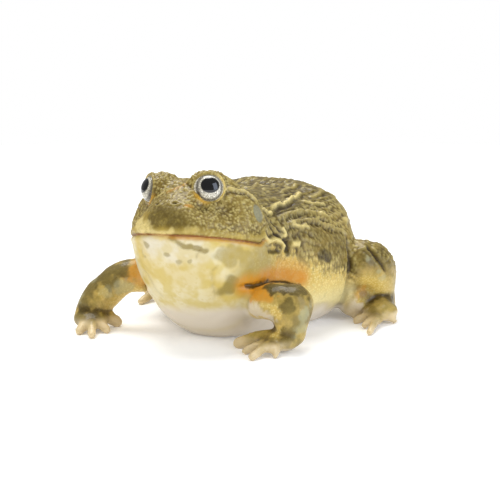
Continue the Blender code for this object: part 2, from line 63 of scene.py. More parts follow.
# Body, as in the solids: sections from snout to vent with y, half width, top, bottom and the
# height of the widest place.
SNOUT_Y = -84.5
VENT_Y = 69.0
BODY_HALF_WIDTH = 56.5
BODY_HEIGHT = 70.0
HEAD_HALF_WIDTH = 35.0
BODY_SECTIONS = [
    (SNOUT_Y, 0.0, 63.5, 63.5, 63.5),
    (-82.0, 0.365 * HEAD_HALF_WIDTH, 71.0, 49.0, 60.0),
    (-74.0, 0.675 * HEAD_HALF_WIDTH, 76.5, 34.0, 56.0),
    (-62.0, 0.90 * HEAD_HALF_WIDTH, 82.3, 16.0, 52.0),
    (-48.0, 1.04 * HEAD_HALF_WIDTH, 80.5, 3.0, 47.0),
    (-34.0, 1.11 * HEAD_HALF_WIDTH, 1.07 * BODY_HEIGHT, -3.0, 43.0),
    (-17.0, 0.88 * BODY_HALF_WIDTH, 1.03 * BODY_HEIGHT, -6.0, 38.0),
    (2.0, 0.99 * BODY_HALF_WIDTH, BODY_HEIGHT, -7.0, 35.0),
    (22.0, BODY_HALF_WIDTH, BODY_HEIGHT, -7.0, 33.0),
    (42.0, 0.825 * BODY_HALF_WIDTH, 1.015 * BODY_HEIGHT, -4.0, 31.0),
    (58.0, 0.63 * BODY_HALF_WIDTH, 53.0, 7.0, 29.0),
    (67.0, 0.28 * BODY_HALF_WIDTH, 38.0, 19.0, 28.0),
    (VENT_Y, 0.0, 28.0, 28.0, 28.0),
]
# How square the sections are above and below their widest place.
POWER_AT_Y = (-66.0, -50.0, -44.0, -34.0, 0.0, 20.0, 42.0, 58.0)
UPPER_POWERS = (1.85, 3.2, 3.1, 2.4, 2.2, 2.2, 2.8, 2.2)
BELLY_POWER = 2.3

# The head is tipped a little to its right against the body.
HEAD_ROLL = math.radians(5.0)
ROLL_HEIGHT = 88.0
ROLL_STARTS_Y = -18.0
ROLL_FULL_Y = -52.0

# Mouth line in the side view: it falls towards its corner and curls up there.
MOUTH_FRONT = (-83.0, 58.0)
MOUTH_LOW = (-53.0, 49.5)
MOUTH_CORNER_Y = -45.5
MOUTH_CURL = 4.2
MOUTH_TILT = 0.07  # rise of the line towards the frog's right, against the roll of the head

# Eyes, given for the frog's left and mirrored.
EYE_RADIUS = 7.4
EYE_CENTRE = (15.1, -62.5, 78.1)
EYE_MOUND_RADII = (9.8, 10.5, 9.3)
EYE_MOUND_SHIFT = (-2.6, 2.2, -1.0)
EYE_AXES = {1: (0.58, -0.79, 0.20), -1: (-0.62, -0.76, 0.20)}
# Degrees from the eye's axis to the edge of the lids, at the sides, the top and the bottom.
LID_OPENINGS = {1: (82.0, 60.0, 76.0), -1: (56.0, 56.0, 64.0)}
LID_RIM = 0.9  # how far the edge of the lower lid stands out from the eyeball
BROW_RIM = 1.4  # the same for the upper lid
LID_WIDTH = 4.0  # how far a lid runs into the brow
LID_REACH = 9.0  # how far from the eyeball the skin is moved
LID_BEHIND = 1.4  # how far skin inside the opening lies behind the face of the eyeball
LID_EDGE = (-0.5, 0.6)  # where the lid rises, before and past the edge of the opening
LID_RISE = 2.0  # how far skin is raised at most
LID_CLEAR = 0.4  # how far skin outside the opening stays in front of the eyeball
# Skin further than this from the eyeball runs away from it, and counts as past the opening.
LID_NEAR = 0.6
LID_HOLD = 6.0  # how much further it may be where it lies square to the spoke
LID_FACING = (0.6, 0.95)  # how square it lies, from not at all to fully: 1 is square
# Dents of the head, given for the frog's left and mirrored: where, how deep and how wide. The last
# is below 0, because the nape swells behind the eye.
HEAD_DENTS = (
    ((17.5, -71.5, 70.5), 3.0, 5.5),
    ((24.5, -63.5, 67.5), 3.2, 6.0),
    ((17.0, -50.0, 81.0), -3.0, 6.5),
)

NOSTRIL = (5.2, -78.5, 73.5)
NOSTRIL_DEPTH = 1.4
# Places of the ear drum and of the bulge before it: y and degrees from the top.
EAR_PLACE = (-49.5, 71.0)
EAR_RADIUS = 4.2
EAR_DEPTH = 0.7
CHEEK_BULGE = (-57.0, 76.0)
CHEEK_BULGE_HEIGHT = 0.9
CHEEK_BULGE_RADIUS = 4.5

# Limbs: the path of the bone and the radius of the flesh round it.
WRIST_RADIUS = 7.4
THIGH_RADIUS = 17.0
KNEE_RADIUS = 12.3
SHANK_RADIUS = 11.3
ANKLE_RADIUS = 7.0
CALF_RADII = (11.0, 15.0, 12.0)  # the swell of flesh under each knee
FINGER_RADIUS = 2.3
THUMB_SWELL = 1.4
TOE_RADIUS = 2.2
PALM_RADII = (9.5, 8.5, 5.4)
SOLE_RADII = (8.5, 10.5, 5.6)
HEEL_SPADE_RADII = (3.2, 5.5, 2.4)

# Small shifts of the limbs, given for the frog's left: from the knee, from the middle between two
# joints, from the ankle and from the sole or palm.
SHANK_START = (4.0, 4.0, -1.0)
SHANK_BEND = (2.0, 1.0, 3.0)
CALF_SHIFT = (-4.0, 6.0)
CALF_HEIGHT = 12.6
FOOT_DROP = 3.0
FOOT_RADIUS = 6.0
HEEL_SPADE_SHIFT = (-7.0, 6.0, -3.0)
FOREARM_BEND = -1.0
FOREARM_SWELL = (1.03, 0.95)  # radius at the elbow and the middle, in shares of the upper arm's end
PALM_SHARE = 0.75  # radius at the palm, in shares of the wrist's

# Fingers and toes: how far along the way to the tip they begin, how much higher, and their arch.
FINGER_ROOT = (0.28, -1.4, 1.2)
THUMB_ROOT = (0.28, 1.0, 1.2)
TOE_ROOT = (0.26, -2.2, 1.0)
DIGIT_TAPER = (1.4, 1.15, 1.0, 0.92)  # radii from root to tip, in shares of the digit's radius
DIGIT_BENDS = ((0.38, 1.0), (0.75, 0.5))  # where it bends, and the share of the arch there
DIGIT_TIP_HEIGHT = 0.78  # in shares of the radius, so that the tip is pressed on the floor

ARMS = {
    1: {
        "shoulder": (27.0, -41.0, 21.0),
        "middle": (42.0, -49.5, 23.5),
        "elbow": (54.0, -47.0, 22.5),
        "radii": (9.8, 9.3, 10.0),
        "wrist": (55.0, -49.5, 9.5),
        "palm": (50.5, -52.5, 5.4),
        "tips": [(29.5, -56.5), (38.5, -66.0), (46.5, -75.0), (54.5, -66.5)],
    },
    -1: {
        "shoulder": (-33.0, -39.0, 28.5),
        "middle": (-46.0, -44.5, 26.2),
        "elbow": (-56.0, -49.5, 17.0),
        "radii": (9.4, 8.6, 8.8),
        "wrist": (-61.0, -54.0, 8.2),
        "palm": (-58.0, -57.0, 5.2),
        "tips": [(-48.5, -47.5), (-45.5, -62.0), (-45.5, -75.0), (-56.0, -71.0)],
    },
}
LEGS = {
    1: {
        "hip": (31.0, 47.0, 25.0),
        "middle": (46.0, 38.0, 21.0),
        "knee": (57.5, 27.0, 31.0),
        "ankle": (64.5, 43.0, 10.5),
        "sole": (70.0, 28.0, 5.8),
        "tips": [(56.0, 27.0), (60.0, 18.0), (68.5, 9.0), (76.5, -3.0), (77.5, 27.0)],
    },
    -1: {
        "hip": (-31.0, 48.0, 25.0),
        "middle": (-46.0, 39.5, 21.0),
        "knee": (-59.0, 28.0, 30.0),
        "ankle": (-65.0, 45.0, 10.5),
        "sole": (-66.0, 31.0, 5.8),
        "tips": [(-52.0, 31.0), (-54.5, 22.0), (-59.5, 14.0), (-65.5, 3.0), (-77.0, 28.0)],
    },
}

# Folds of the skin on the frog's left, each as places (y, degrees from the top), width and
# height of the crest, and how cream it is. They are mirrored on its right.
FOLDS = {
    "over the ear": ([(-62, 37), (-57, 38), (-53, 42), (-50, 45), (-48, 52), (-46, 60)], 1.1, 1.4, 0.5),
    "hook of the zigzag": ([(-44, 59), (-38, 56), (-33, 53), (-29, 49)], 1.2, 1.6, 1.0),
    "zigzag": (
        [(-30, 50), (-24, 41), (-17, 34), (-13, 33), (-9, 32), (2, 28), (14, 25), (21, 23), (22, 26)],
        1.2,
        1.7,
        1.0,
    ),
    "inner back": ([(-30, 14), (-20, 14), (-13, 13), (-5, 13), (4, 13)], 1.3, 0.5, 0.0),
    "middle of the back": ([(-8, 4), (2, 3), (12, 1), (20, 0)], 1.3, 0.8, 0.2),
    "arc": ([(-30, 60), (-22, 50), (-15, 46), (-7, 44), (0, 45), (6, 49), (12, 53)], 1.7, 1.7, 0.2),
    "second arc": ([(-30, 68), (-24, 60), (-17, 55), (-9, 53), (-2, 55), (4, 60), (9, 66)], 1.4, 1.2, 0.1),
    "behind the zigzag": ([(8, 31), (13, 35), (18, 39), (24, 41)], 1.2, 1.2, 0.7),
    "outer back": ([(-12, 54), (-4, 54), (5, 60), (13, 65), (20, 69)], 1.1, 0.7, 0.1),
    "shoulder block": ([(-23, 60), (-20, 60), (-16, 60), (-11, 60)], 1.9, 1.0, 0.8),
    "side block": ([(5, 46), (9, 49), (12, 51)], 1.8, 1.0, 0.7),
    "rear block": ([(24, 60), (29, 61), (32, 62)], 1.3, 0.9, 0.6),
    "top rear": ([(8, 17), (16, 16), (24, 15), (33, 15)], 1.3, 1.0, 0.3),
    "outer rear": ([(20, 30), (29, 32), (38, 30)], 1.2, 1.1, 0.3),
    "corner of the mouth": (
        [(-49, 86), (-46, 88), (-44, 88), (-38, 84), (-33, 82), (-31, 85), (-32, 88)],
        1.1,
        1.9,
        1.0,
    ),
    "small bar": ([(-30, 67), (-29, 72), (-31, 77)], 0.9, 0.8, 1.0),
    "shoulder lump": ([(-27, 80), (-24, 79), (-22, 79)], 1.7, 1.7, 1.0),
    "rump": ([(38, 40), (46, 44), (52, 50)], 1.4, 0.8, 0.2),
    "lower flank": ([(-20, 72), (-10, 74), (2, 72), (12, 78)], 1.2, 0.5, 0.0),
}
# Narrow furrows of the body, as places, width and depth. Each is darkened with painted shade too.
FURROWS = {
    "behind the ear": ([(-38, 49), (-42, 60), (-43, 68), (-40, 75), (-33, 79)], 0.9, 1.7),
    "before the shoulder": ([(-31, 50), (-35, 58), (-36, 66), (-32, 73)], 0.6, 1.0),
    "along the ear": ([(-35, 48), (-39, 57), (-40, 66), (-36, 74)], 0.5, 0.8),
    "under the zigzag": ([(-27, 48), (-20, 39), (-11, 35), (2, 31)], 1.9, 1.5),
    "over the arc": ([(-29, 54), (-22, 46), (-14, 42), (-6, 41), (2, 41)], 0.8, 0.8),
    "shoulder hollow": ([(-29, 78), (-29, 83), (-29, 88)], 1.9, 1.4),
    "under the corner": ([(-47, 91), (-40, 90), (-34, 88)], 1.1, 1.3),
    "edge over the thigh": ([(19, 68), (15, 80), (14, 90), (14, 98), (15, 107), (20, 120)], 1.3, 2.0),
    "over the arm": (
        [(-63, 127), (-52, 114.5), (-45, 110), (-38, 107.5), (-29, 105), (-22, 105)],
        1.2,
        2.2,
    ),
    "side of the throat": ([(-66, -158), (-68, -148), (-72, -136), (-70, -118)], 0.8, 0.7),
    "far edge of the throat": ([(-80, -112), (-78, -122), (-79, -134)], 0.7, 0.7),
}
# Furrows of the limbs, as places in the flesh in mm, width and depth. They are darkened with painted shade
# too.
LIMB_FURROWS = {
    "between thigh and shank": ([(62, 24, 45), (66, 23, 38), (70, 25, 32), (72, 29, 26)], 1.2, 1.8),
}
# Marks of one colour on the body: which share, places with degrees below 0 on the right, width
# and strength. Dark marks in furrows, creases and under folds are painted shade.
MARKS = {
    "flank spot": ("dark", [(-10, 85), (-6, 85)], 3.0, 0.95),
    "small flank spot": ("dark", [(4, 81), (8, 82)], 1.5, 0.5),
    "throat stripe": ("khaki", [(-84, 135), (-82, 125), (-80, 115), (-77, 111)], 1.4, 0.8),
    "khaki blotch": ("khaki", [(-65, 124), (-65, 129), (-65, 135), (-66, 140)], 3.8, 0.85),
    "upper throat blotch": ("khaki", [(-68, 98), (-63, 99), (-60, 97)], 3.2, 0.45),
    "side throat blotch": ("khaki", [(-71, 106), (-68, 108)], 3.4, 0.5),
    "rear throat blotch": ("khaki", [(-60, 102), (-57, 106)], 3.6, 0.45),
    "khaki side": ("khaki", [(-48, 95), (-50, 101), (-56, 108)], 9.0, 0.6),
    "honey side": ("honey", [(-64, 101), (-56, 104), (-58, 118), (-65, 132)], 8.0, 0.95),
    # Painted shadow in the crease where the flank overlaps the arm.
    "crease over the arm": (
        "dark",
        [(-57, 120), (-51, 114), (-45, 110), (-38, 107), (-29, 104.5), (-22, 104)],
        0.9,
        0.9,
    ),
    # Painted shade in the two furrows behind the ear.
    "ear furrow": ("dark", [(-38, 49), (-42, 60), (-43, 68), (-40, 75), (-33, 79)], 0.9, 0.9),
    "second ear furrow": ("dark", [(-31, 50), (-35, 58), (-36, 66), (-32, 73)], 0.6, 0.8),
    # Painted shade in the hollow of the shoulder.
    "hollow of the shoulder": ("dark", [(-29, 77), (-29, 83), (-29, 88)], 1.8, 0.9),
    # Painted shade under the fold at the corner of the mouth.
    "under the mouth fold": ("dark", [(-46, 91.5), (-40, 90.5), (-34, 89)], 0.9, 0.8),
    # Painted shade in the furrow under the zigzag fold.
    "under the zigzag": ("dark", [(-27, 51), (-20, 41), (-11, 37), (2, 33)], 2.4, 0.8),
    "dark shoulder": ("dark", [(-28, 64), (-22, 68), (-14, 66), (-4, 68), (8, 72)], 8.0, 0.5),
    "chin spot": ("khaki", [(-82, 178), (-82, 182)], 1.2, 0.6),
    "far chin spot": ("khaki", [(-82, -121), (-82, -125)], 1.5, 0.6),
    "low throat spot": ("khaki", [(-80, 167), (-80, 163)], 1.2, 0.5),
    "small throat spot": ("khaki", [(-79, 146), (-79, 144)], 0.9, 0.5),
    "low throat": ("honey", [(-75, -130), (-76, 175), (-72, 140)], 7.0, 0.55),
    "far throat": ("honey", [(-80, -110), (-76, -125), (-70, -135)], 5.0, 0.9),
    "under the lip": ("honey", [(-80, 96), (-72, 94), (-62, 94)], 1.6, 0.8),
    "front of the chin": ("white", [(-82, -140), (-83, 170), (-81, 130), (-79, 115)], 6.0, 0.7),
    "armpit": ("orange", [(-58, 119), (-50, 112), (-43, 107), (-36, 103), (-29, 100), (-23, 99)], 5.6, 1.0),
    "above the armpit": ("orange", [(-36, 98), (-29, 95), (-22, 94)], 4.0, 0.5),
    "far armpit": ("orange", [(-58, -118), (-48, -110), (-38, -102)], 4.5, 0.8),
    "snout front": ("dark", [(-74, -24), (-78, -16), (-81, -4), (-80, 8)], 7.2, 0.28),
    "far snout": ("lip", [(-80, -52), (-78, -60)], 5.5, 0.6),
    "snout crease": ("cream", [(-67, -15), (-67, -14), (-70, -14), (-72, -19), (-71, -32)], 0.5, 0.55),
    "nostril line": ("orange", [(-71, -7), (-69, 3), (-66, 10)], 1.0, 0.35),
    "under the eye": ("orange", [(-69, 45), (-72, 42), (-75, 37), (-77, 33)], 1.0, 0.6),
    "front lip": ("cream", [(-78, -68), (-82, -72), (-83.5, -80)], 3.0, 0.8),
    "small lip patch": ("cream", [(-83, -62), (-84, -85)], 1.2, 0.5),
    "middle lip": ("cream", [(-84, -120), (-84.2, -170), (-84.2, -230), (-84, -255)], 1.7, 0.6),
    "side lip": ("cream", [(-82, 83), (-80, 83)], 1.5, 0.25),
    "first back spot": ("cream", [(20, -4), (21, -3)], 1.3, 0.7),
    "second back spot": ("cream", [(20, 2), (21, 3)], 1.3, 0.7),
    "rear spot": ("cream", [(28, 61), (29, 61)], 1.5, 0.7),
}
# Patches of colour on the limbs: which share, a place in the flesh, radius and strength. Patches of shine are
# painted highlights of wet skin.
LIMB_PATCHES = (
    ("dark", (46.5, -53.5, 32), 4.5, 0.95),
    ("dark", (53, -52, 32), 5.5, 0.95),
    ("dark", (59, -49, 31), 6.0, 0.9),
    ("dark", (57, -57, 23), 4.5, 0.85),
    ("dark", (60, -54, 17), 3.5, 0.7),
    ("dark", (57, -58, 10), 4.5, 0.75),
    ("dark", (50, -66, 7), 2.6, 0.4),
    ("dark", (65, -48, 18), 5.0, 0.7),
    ("dark", (61, -53, 5), 3.0, 0.5),
    ("orange", (35, -57, 30), 5.5, 1.0),
    ("orange", (41, -57, 28), 4.5, 0.9),
    ("orange", (47, -58, 27), 3.5, 0.8),
    ("yellow", (51, -60, 21), 4.0, 0.9),
    ("yellow", (51, -61, 13), 5.0, 0.9),
    ("yellow", (45, -60, 24), 3.5, 0.7),
    ("yellow", (38, -58, 25), 5.0, 0.7),
    ("belly", (38, -58, 18), 6.0, 0.8),
    ("belly", (45, -60, 16), 5.0, 0.8),
    # Painted highlights on the near forearm.
    ("shine", (62, -52, 20), 5.0, 0.8),
    ("shine", (62, -53, 13), 4.5, 0.6),
    ("dark", (-44, -49, 33), 5.5, 0.95),
    ("dark", (-51, -51, 30), 6.5, 0.95),
    ("dark", (-57, -53, 26), 6.5, 0.95),
    ("dark", (-60, -57, 20), 6.0, 0.9),
    ("dark", (-61, -60, 13), 5.5, 0.9),
    ("dark", (-61, -63, 6), 5.5, 0.85),
    ("dark", (-54, -64, 7), 5.5, 0.85),
    ("dark", (-50, -57, 6), 4.5, 0.6),
    ("dark", (-50, -54, 27), 6.0, 0.9),
    ("orange", (-38, -51, 30), 4.5, 0.8),
    ("yellow", (-43, -53, 27), 3.5, 0.6),
    ("yellow", (-51, -56, 21), 4.0, 0.6),
    # Painted highlights on the far arm.
    ("shine", (-42, -51, 22), 5.0, 0.6),
    ("shine", (-50, -54, 20), 3.5, 0.4),
    ("shine", (-59, -54, 25), 3.0, 0.5),
    ("shine", (-62, -58, 16), 3.0, 0.5),
    # Painted highlight along the near hind leg.
    ("shine", (65, 20, 35), 2.4, 0.6),
    ("shine", (67, 21.5, 32), 2.4, 0.6),
    ("shine", (69, 23.5, 28.5), 2.4, 0.6),
    ("shine", (70, 26, 25), 2.2, 0.5),
    ("yellow", (60, 20, 20), 6.5, 0.9),
    ("belly", (54, 20, 7), 8.0, 0.8),
    ("yellow", (60, 24, 15), 7.5, 0.95),
    ("yellow", (52, 22, 15), 6.0, 0.8),
    ("orange", (61, 22, 16), 4.0, 0.6),
    ("yellow", (68, 26, 20), 5.0, 0.7),
)


def linear(code):
    """Linear red, green and blue of an sRGB hex colour."""
    parts = np.array([int(code[k : k + 2], 16) for k in (1, 3, 5)]) / 255
    return tuple(np.where(parts <= 0.04045, parts / 12.92, ((parts + 0.055) / 1.055) ** 2.4))


def share_between(value, start, end):
    """0 before start, 1 past end, and 3t^2 - 2t^3 between them."""
    t = np.clip((np.asarray(value, float) - start) / (end - start), 0, 1)
    return t * t * (3 - 2 * t)


def bell(value, width):
    """exp(-(value / width)^2)."""
    return np.exp(-((value / width) ** 2))


def unit(vectors):
    """Vectors divided by their length."""
    return vectors / np.maximum(np.linalg.norm(vectors, axis=-1, keepdims=True), 1e-9)


def catmull_rom(padded, per_span):
    """The Catmull-Rom curve of rows a, b, c, d: half of 2b + (c-a)t + (2a-5b+4c-d)t^2 + (3b-a-3c+d)t^3."""
    spans = len(padded) - 3
    steps = np.arange(per_span * spans + 1) / per_span
    first = np.minimum(steps.astype(int), spans - 1)
    t = (steps - first)[:, None]
    a, b, c, d = (padded[first + k] for k in range(4))
    return 0.5 * (2 * b + (c - a) * t + (2 * a - 5 * b + 4 * c - d) * t**2 + (3 * b - a - 3 * c + d) * t**3)


def smooth_line(points, per_span):
    """A curve through the points, which runs straight on at its ends."""
    points = np.array(points, float)
    return catmull_rom(np.vstack([2 * points[0] - points[1], points, 2 * points[-1] - points[-2]]), per_span)


def smooth_rows(rows, per_span):
    """Sections read along a curve, whose ends are turned back so that they close round."""
    rows = np.array(rows, float)
    before, after = rows[1].copy(), rows[-2].copy()
    before[1:] = 2 * rows[0, 1:] - rows[1, 1:]
    after[1:] = 2 * rows[-1, 1:] - rows[-2, 1:]
    return catmull_rom(np.vstack([before, rows, after]), per_span)


BODY_ROWS = smooth_rows(BODY_SECTIONS, 16)


def section_at(y):
    """Half width, top, bottom and widest height of the body at places along it."""
    return [np.interp(y, BODY_ROWS[:, 0], BODY_ROWS[:, k]) for k in range(1, 5)]


def upper_power(y):
    """How square the upper half of the section is: 2 is an ellipse."""
    return np.interp(y, POWER_AT_Y, UPPER_POWERS)


def section_point(y, half_width, top, bottom, widest, angle):
    """x = half width sin^(2/p) and z = widest + reach cos^(2/p), each with the sign of its sine or cosine."""
    across, up = np.sin(angle), np.cos(angle)
    power = np.where(up > 0, upper_power(y), BELLY_POWER)
    reach = np.where(up > 0, top - widest, widest - bottom)
    x = half_width * np.sign(across) * np.abs(across) ** (2 / power)
    z = widest + reach * np.sign(up) * np.abs(up) ** (2 / power)
    return x, np.maximum(z, 0.0)


def section_share(points):
    """How far out a point lies in its section: 1 on the skin, (|x/a|^p + |z/b|^p)^(1/p) elsewhere."""
    half_width, top, bottom, widest = section_at(points[:, 1])
    up = points[:, 2] > widest
    power = np.where(up, upper_power(points[:, 1]), BELLY_POWER)
    reach = np.where(up, top - widest, widest - bottom)
    across = np.abs(points[:, 0]) / np.maximum(half_width, 0.5)
    above = np.abs(points[:, 2] - widest) / np.maximum(reach, 0.5)
    return (across**power + above**power) ** (1 / power)


def roll_at(y):
    """How far the head is rolled at places along the body: not behind the neck, fully before it."""
    return HEAD_ROLL * share_between(-np.asarray(y), -ROLL_STARTS_Y, -ROLL_FULL_Y)


def tip_head(points, back=False):
    """Turns the points before the neck by the head's roll about its line, or back again."""
    points = np.array(points, float)
    flat = np.atleast_2d(points)
    roll = roll_at(flat[:, 1]) * (-1 if back else 1)
    x, y, z = flat[:, 0], flat[:, 1], flat[:, 2] - ROLL_HEIGHT
    x, z = x * np.cos(roll) - z * np.sin(roll), x * np.sin(roll) + z * np.cos(roll)
    return np.stack([x, y, z + ROLL_HEIGHT], axis=1).reshape(points.shape)


def skin_places(places, side=1):
    """Points on the body for places (y, degrees from the top)."""
    y, degrees = np.array(places, float).T
    x, z = section_point(y, *section_at(y), side * np.radians(degrees))
    return tip_head(np.stack([x, y, z], axis=1))


def mouth_height(plain):
    """Height of the mouth line: a straight fall, a curl upwards at the corner, and a tilt on the right."""
    x, y = plain[:, 0], plain[:, 1]
    slope = (MOUTH_LOW[1] - MOUTH_FRONT[1]) / (MOUTH_LOW[0] - MOUTH_FRONT[0])
    fall = MOUTH_FRONT[1] + slope * (y - MOUTH_FRONT[0])
    return fall + MOUTH_CURL * share_between(y, MOUTH_LOW[0], MOUTH_CORNER_Y) + MOUTH_TILT * np.maximum(-x, 0)


def degrees_round(plain):
    """Degrees from the top of the section on which each unposed point lies, the same on both sides."""
    half_width, top, bottom, widest = section_at(plain[:, 1])
    up = plain[:, 2] > widest
    power = np.where(up, upper_power(plain[:, 1]), BELLY_POWER)
    reach = np.where(up, top - widest, widest - bottom)
    across = (np.abs(plain[:, 0]) / np.maximum(half_width, 0.5)) ** (power / 2)
    above = (np.abs(plain[:, 2] - widest) / np.maximum(reach, 0.5)) ** (power / 2)
    return np.degrees(np.arctan2(across, np.where(up, above, -above)))


def eye_frame(side):
    """Centre of the eyeball, and its axis with the directions across and up from it."""
    centre = tip_head(np.array(EYE_CENTRE) * (side, 1, 1))
    axis = unit(np.array(EYE_AXES[side]))
    across = unit(np.cross((0.0, 0.0, 1.0), axis))
    return centre, axis, across, np.cross(axis, across)


# Closed surfaces, as points and triangles.


def grid_triangles(rows, columns):
    """Two triangles for each cell of a grid whose columns close on themselves."""
    k = np.arange(rows * columns).reshape(rows, columns)
    a, b = k[:-1], np.roll(k[:-1], -1, axis=1)
    c, d = np.roll(k[1:], -1, axis=1), k[1:]
    return np.concatenate([np.stack([a, b, c], -1).reshape(-1, 3), np.stack([a, c, d], -1).reshape(-1, 3)])


def closed_surface(grid, start, end):
    """A grid of rings closed by a fan of triangles at each end."""
    rows, columns = grid.shape[:2]
    points = np.vstack([grid.reshape(-1, 3), start, end])
    ring = np.arange(columns)
    turned = np.roll(ring, -1)
    last = (rows - 1) * columns
    first_cap = np.stack([turned, ring, np.full(columns, rows * columns)], -1)
    last_cap = np.stack([last + ring, last + turned, np.full(columns, rows * columns + 1)], -1)
    return points, np.concatenate([grid_triangles(rows, columns), first_cap, last_cap])


def body_surface(columns=160, per_span=14):
    """The body's sections along a smooth curve, each a ring of section points, with its head tipped."""
    rows = smooth_rows(BODY_SECTIONS, per_span)
    angles = np.arange(columns) * 2 * np.pi / columns
    x, z = section_point(*(rows[1:-1, k, None] for k in range(5)), angles[None, :])
    y = np.broadcast_to(rows[1:-1, 0, None], x.shape)
    grid = tip_head(np.stack([x, y, z], axis=2).reshape(-1, 3)).reshape(*x.shape, 3)
    ends = tip_head([[0.0, rows[0, 0], rows[0, 4]], [0.0, rows[-1, 0], rows[-1, 4]]])
    return closed_surface(grid, *ends)


END_RINGS = (80.0, 62.0, 44.0, 26.0, 10.0)  # degrees up the half ball at which its rings lie


def tube(path, radii, per_span=8, sides=28):
    """A circle carried along a curve, closed by half a ball at each end."""
    line = smooth_line(np.column_stack([np.array(path, float), radii]), per_span)
    places, sizes = line[:, :3], line[:, 3]
    lead, trail = unit(places[0] - places[1]), unit(places[-1] - places[-2])
    bows = np.radians(END_RINGS)[:, None]
    before = places[0] + lead * sizes[0] * np.sin(bows)
    after = places[-1] + trail * sizes[-1] * np.sin(bows[::-1])
    stations = np.vstack([before, places, after])
    widths = np.concatenate([sizes[0] * np.cos(bows[:, 0]), sizes, sizes[-1] * np.cos(bows[::-1, 0])])
    tangents = unit(np.gradient(stations, axis=0))
    reference = np.eye(3)[np.argmin(np.abs(places[-1] - places[0]))]
    across = unit(np.cross(tangents, reference))
    above = np.cross(across, tangents)
    turns = np.arange(sides) * 2 * np.pi / sides
    spokes = np.cos(turns)[None, :, None] * across[:, None] + np.sin(turns)[None, :, None] * above[:, None]
    grid = stations[:, None] + widths[:, None, None] * spokes
    return closed_surface(grid, places[0] + lead * sizes[0], places[-1] + trail * sizes[-1])


def ellipsoid(centre, radii, rings=20, columns=32):
    """Centre plus the radii times (sin a cos b, sin a sin b, cos a)."""
    a = (np.arange(1, rings) * np.pi / rings)[:, None]
    b = (np.arange(columns) * 2 * np.pi / columns)[None, :]
    ball = np.stack([np.sin(a) * np.cos(b), np.sin(a) * np.sin(b), np.cos(a) + 0 * b], axis=-1)
    grid = np.array(centre) + np.array(radii) * ball
    pole = np.array([0.0, 0.0, radii[2]])
    return closed_surface(grid, centre + pole, centre - pole)


def digit(palm, tip, radius, start, higher, arch):
    """A finger or toe: a tapered tube that starts on the way from palm to tip, arches a little and
    ends blunt at the floor."""
    root = palm + start * (np.array([*tip, 0.0]) - (palm[0], palm[1], 0.0)) + (0, 0, higher)
    tip = np.array([*tip, radius * DIGIT_TIP_HEIGHT])
    bends = [root * (1 - on) + tip * on + (0, 0, arch * rise) for on, rise in DIGIT_BENDS]
    return tube([root, *bends, tip], radius * np.array(DIGIT_TAPER), 5, 18)


def arm_surfaces(arm):
    """Tubes for upper arm, forearm and wrist, an ellipsoid for the palm, and four digits."""
    elbow, wrist, palm = (np.array(arm[k]) for k in ("elbow", "wrist", "palm"))
    made = [tube([arm["shoulder"], arm["middle"], elbow], arm["radii"])]
    swell = arm["radii"][-1] * np.array(FOREARM_SWELL)
    made.append(tube([elbow, (elbow + wrist) / 2 + (0, FOREARM_BEND, 0), wrist], (*swell, WRIST_RADIUS)))
    made.append(tube([wrist, palm], (WRIST_RADIUS, PALM_SHARE * WRIST_RADIUS)))
    made.append(ellipsoid(palm, PALM_RADII))
    thumb, *fingers = arm["tips"]
    made.append(digit(palm, thumb, FINGER_RADIUS * THUMB_SWELL, *THUMB_ROOT))
    made += [digit(palm, tip, FINGER_RADIUS, *FINGER_ROOT) for tip in fingers]
    return made


def leg_surfaces(leg, side):
    """Tubes for thigh, shank and foot, ellipsoids for calf, sole and heel spade, and five digits."""
    mirror = np.array((side, 1.0, 1.0))
    knee, ankle, sole = (np.array(leg[k]) for k in ("knee", "ankle", "sole"))
    made = [tube([leg["hip"], leg["middle"], knee], (THIGH_RADIUS, THIGH_RADIUS, KNEE_RADIUS))]
    start = knee + SHANK_START * mirror
    middle = (knee + ankle) / 2 + SHANK_BEND * mirror
    made.append(tube([start, middle, ankle], (KNEE_RADIUS, SHANK_RADIUS, ANKLE_RADIUS)))
    calf = (knee[0] + CALF_SHIFT[0] * side, knee[1] + CALF_SHIFT[1], CALF_HEIGHT)
    made.append(ellipsoid(calf, CALF_RADII))
    made.append(tube([ankle - (0, 0, FOOT_DROP), sole], (ANKLE_RADIUS, FOOT_RADIUS)))
    made.append(ellipsoid(sole, SOLE_RADII))
    made.append(ellipsoid(sole + HEEL_SPADE_SHIFT * mirror, HEEL_SPADE_RADII))
    made += [digit(sole, tip, TOE_RADIUS, *TOE_ROOT) for tip in leg["tips"]]
    return made


def flesh_surfaces():
    """Every closed surface that the skin is drawn over."""
    made = [body_surface()]
    for side in (1, -1):
        centre = eye_frame(side)[0] + np.array(EYE_MOUND_SHIFT) * (side, 1, 1)
        made.append(ellipsoid(centre, EYE_MOUND_RADII))
        made += arm_surfaces(ARMS[side]) + leg_surfaces(LEGS[side], side)
    return made


# From closed surfaces to one even mesh.


def read_vectors(items, name, width):
    """A mesh's values of one kind as an array, with so many numbers in a row."""
    values = np.empty(len(items) * width, np.float64 if name != "vertices" else np.int32)
    items.foreach_get(name, values)
    return values.reshape(-1, width)


def new_object(name, data):
    """An object with this mesh, light or camera, in the scene."""
    obj = bpy.data.objects.new(name, data)
    bpy.context.scene.collection.objects.link(obj)
    return obj


def mesh_of(name, points, faces):
    """A mesh in metres from points in millimetres."""
    mesh = bpy.data.meshes.new(name)
    mesh.from_pydata((np.asarray(points) * MM).tolist(), [], np.asarray(faces).tolist())
    mesh.update()
    return mesh


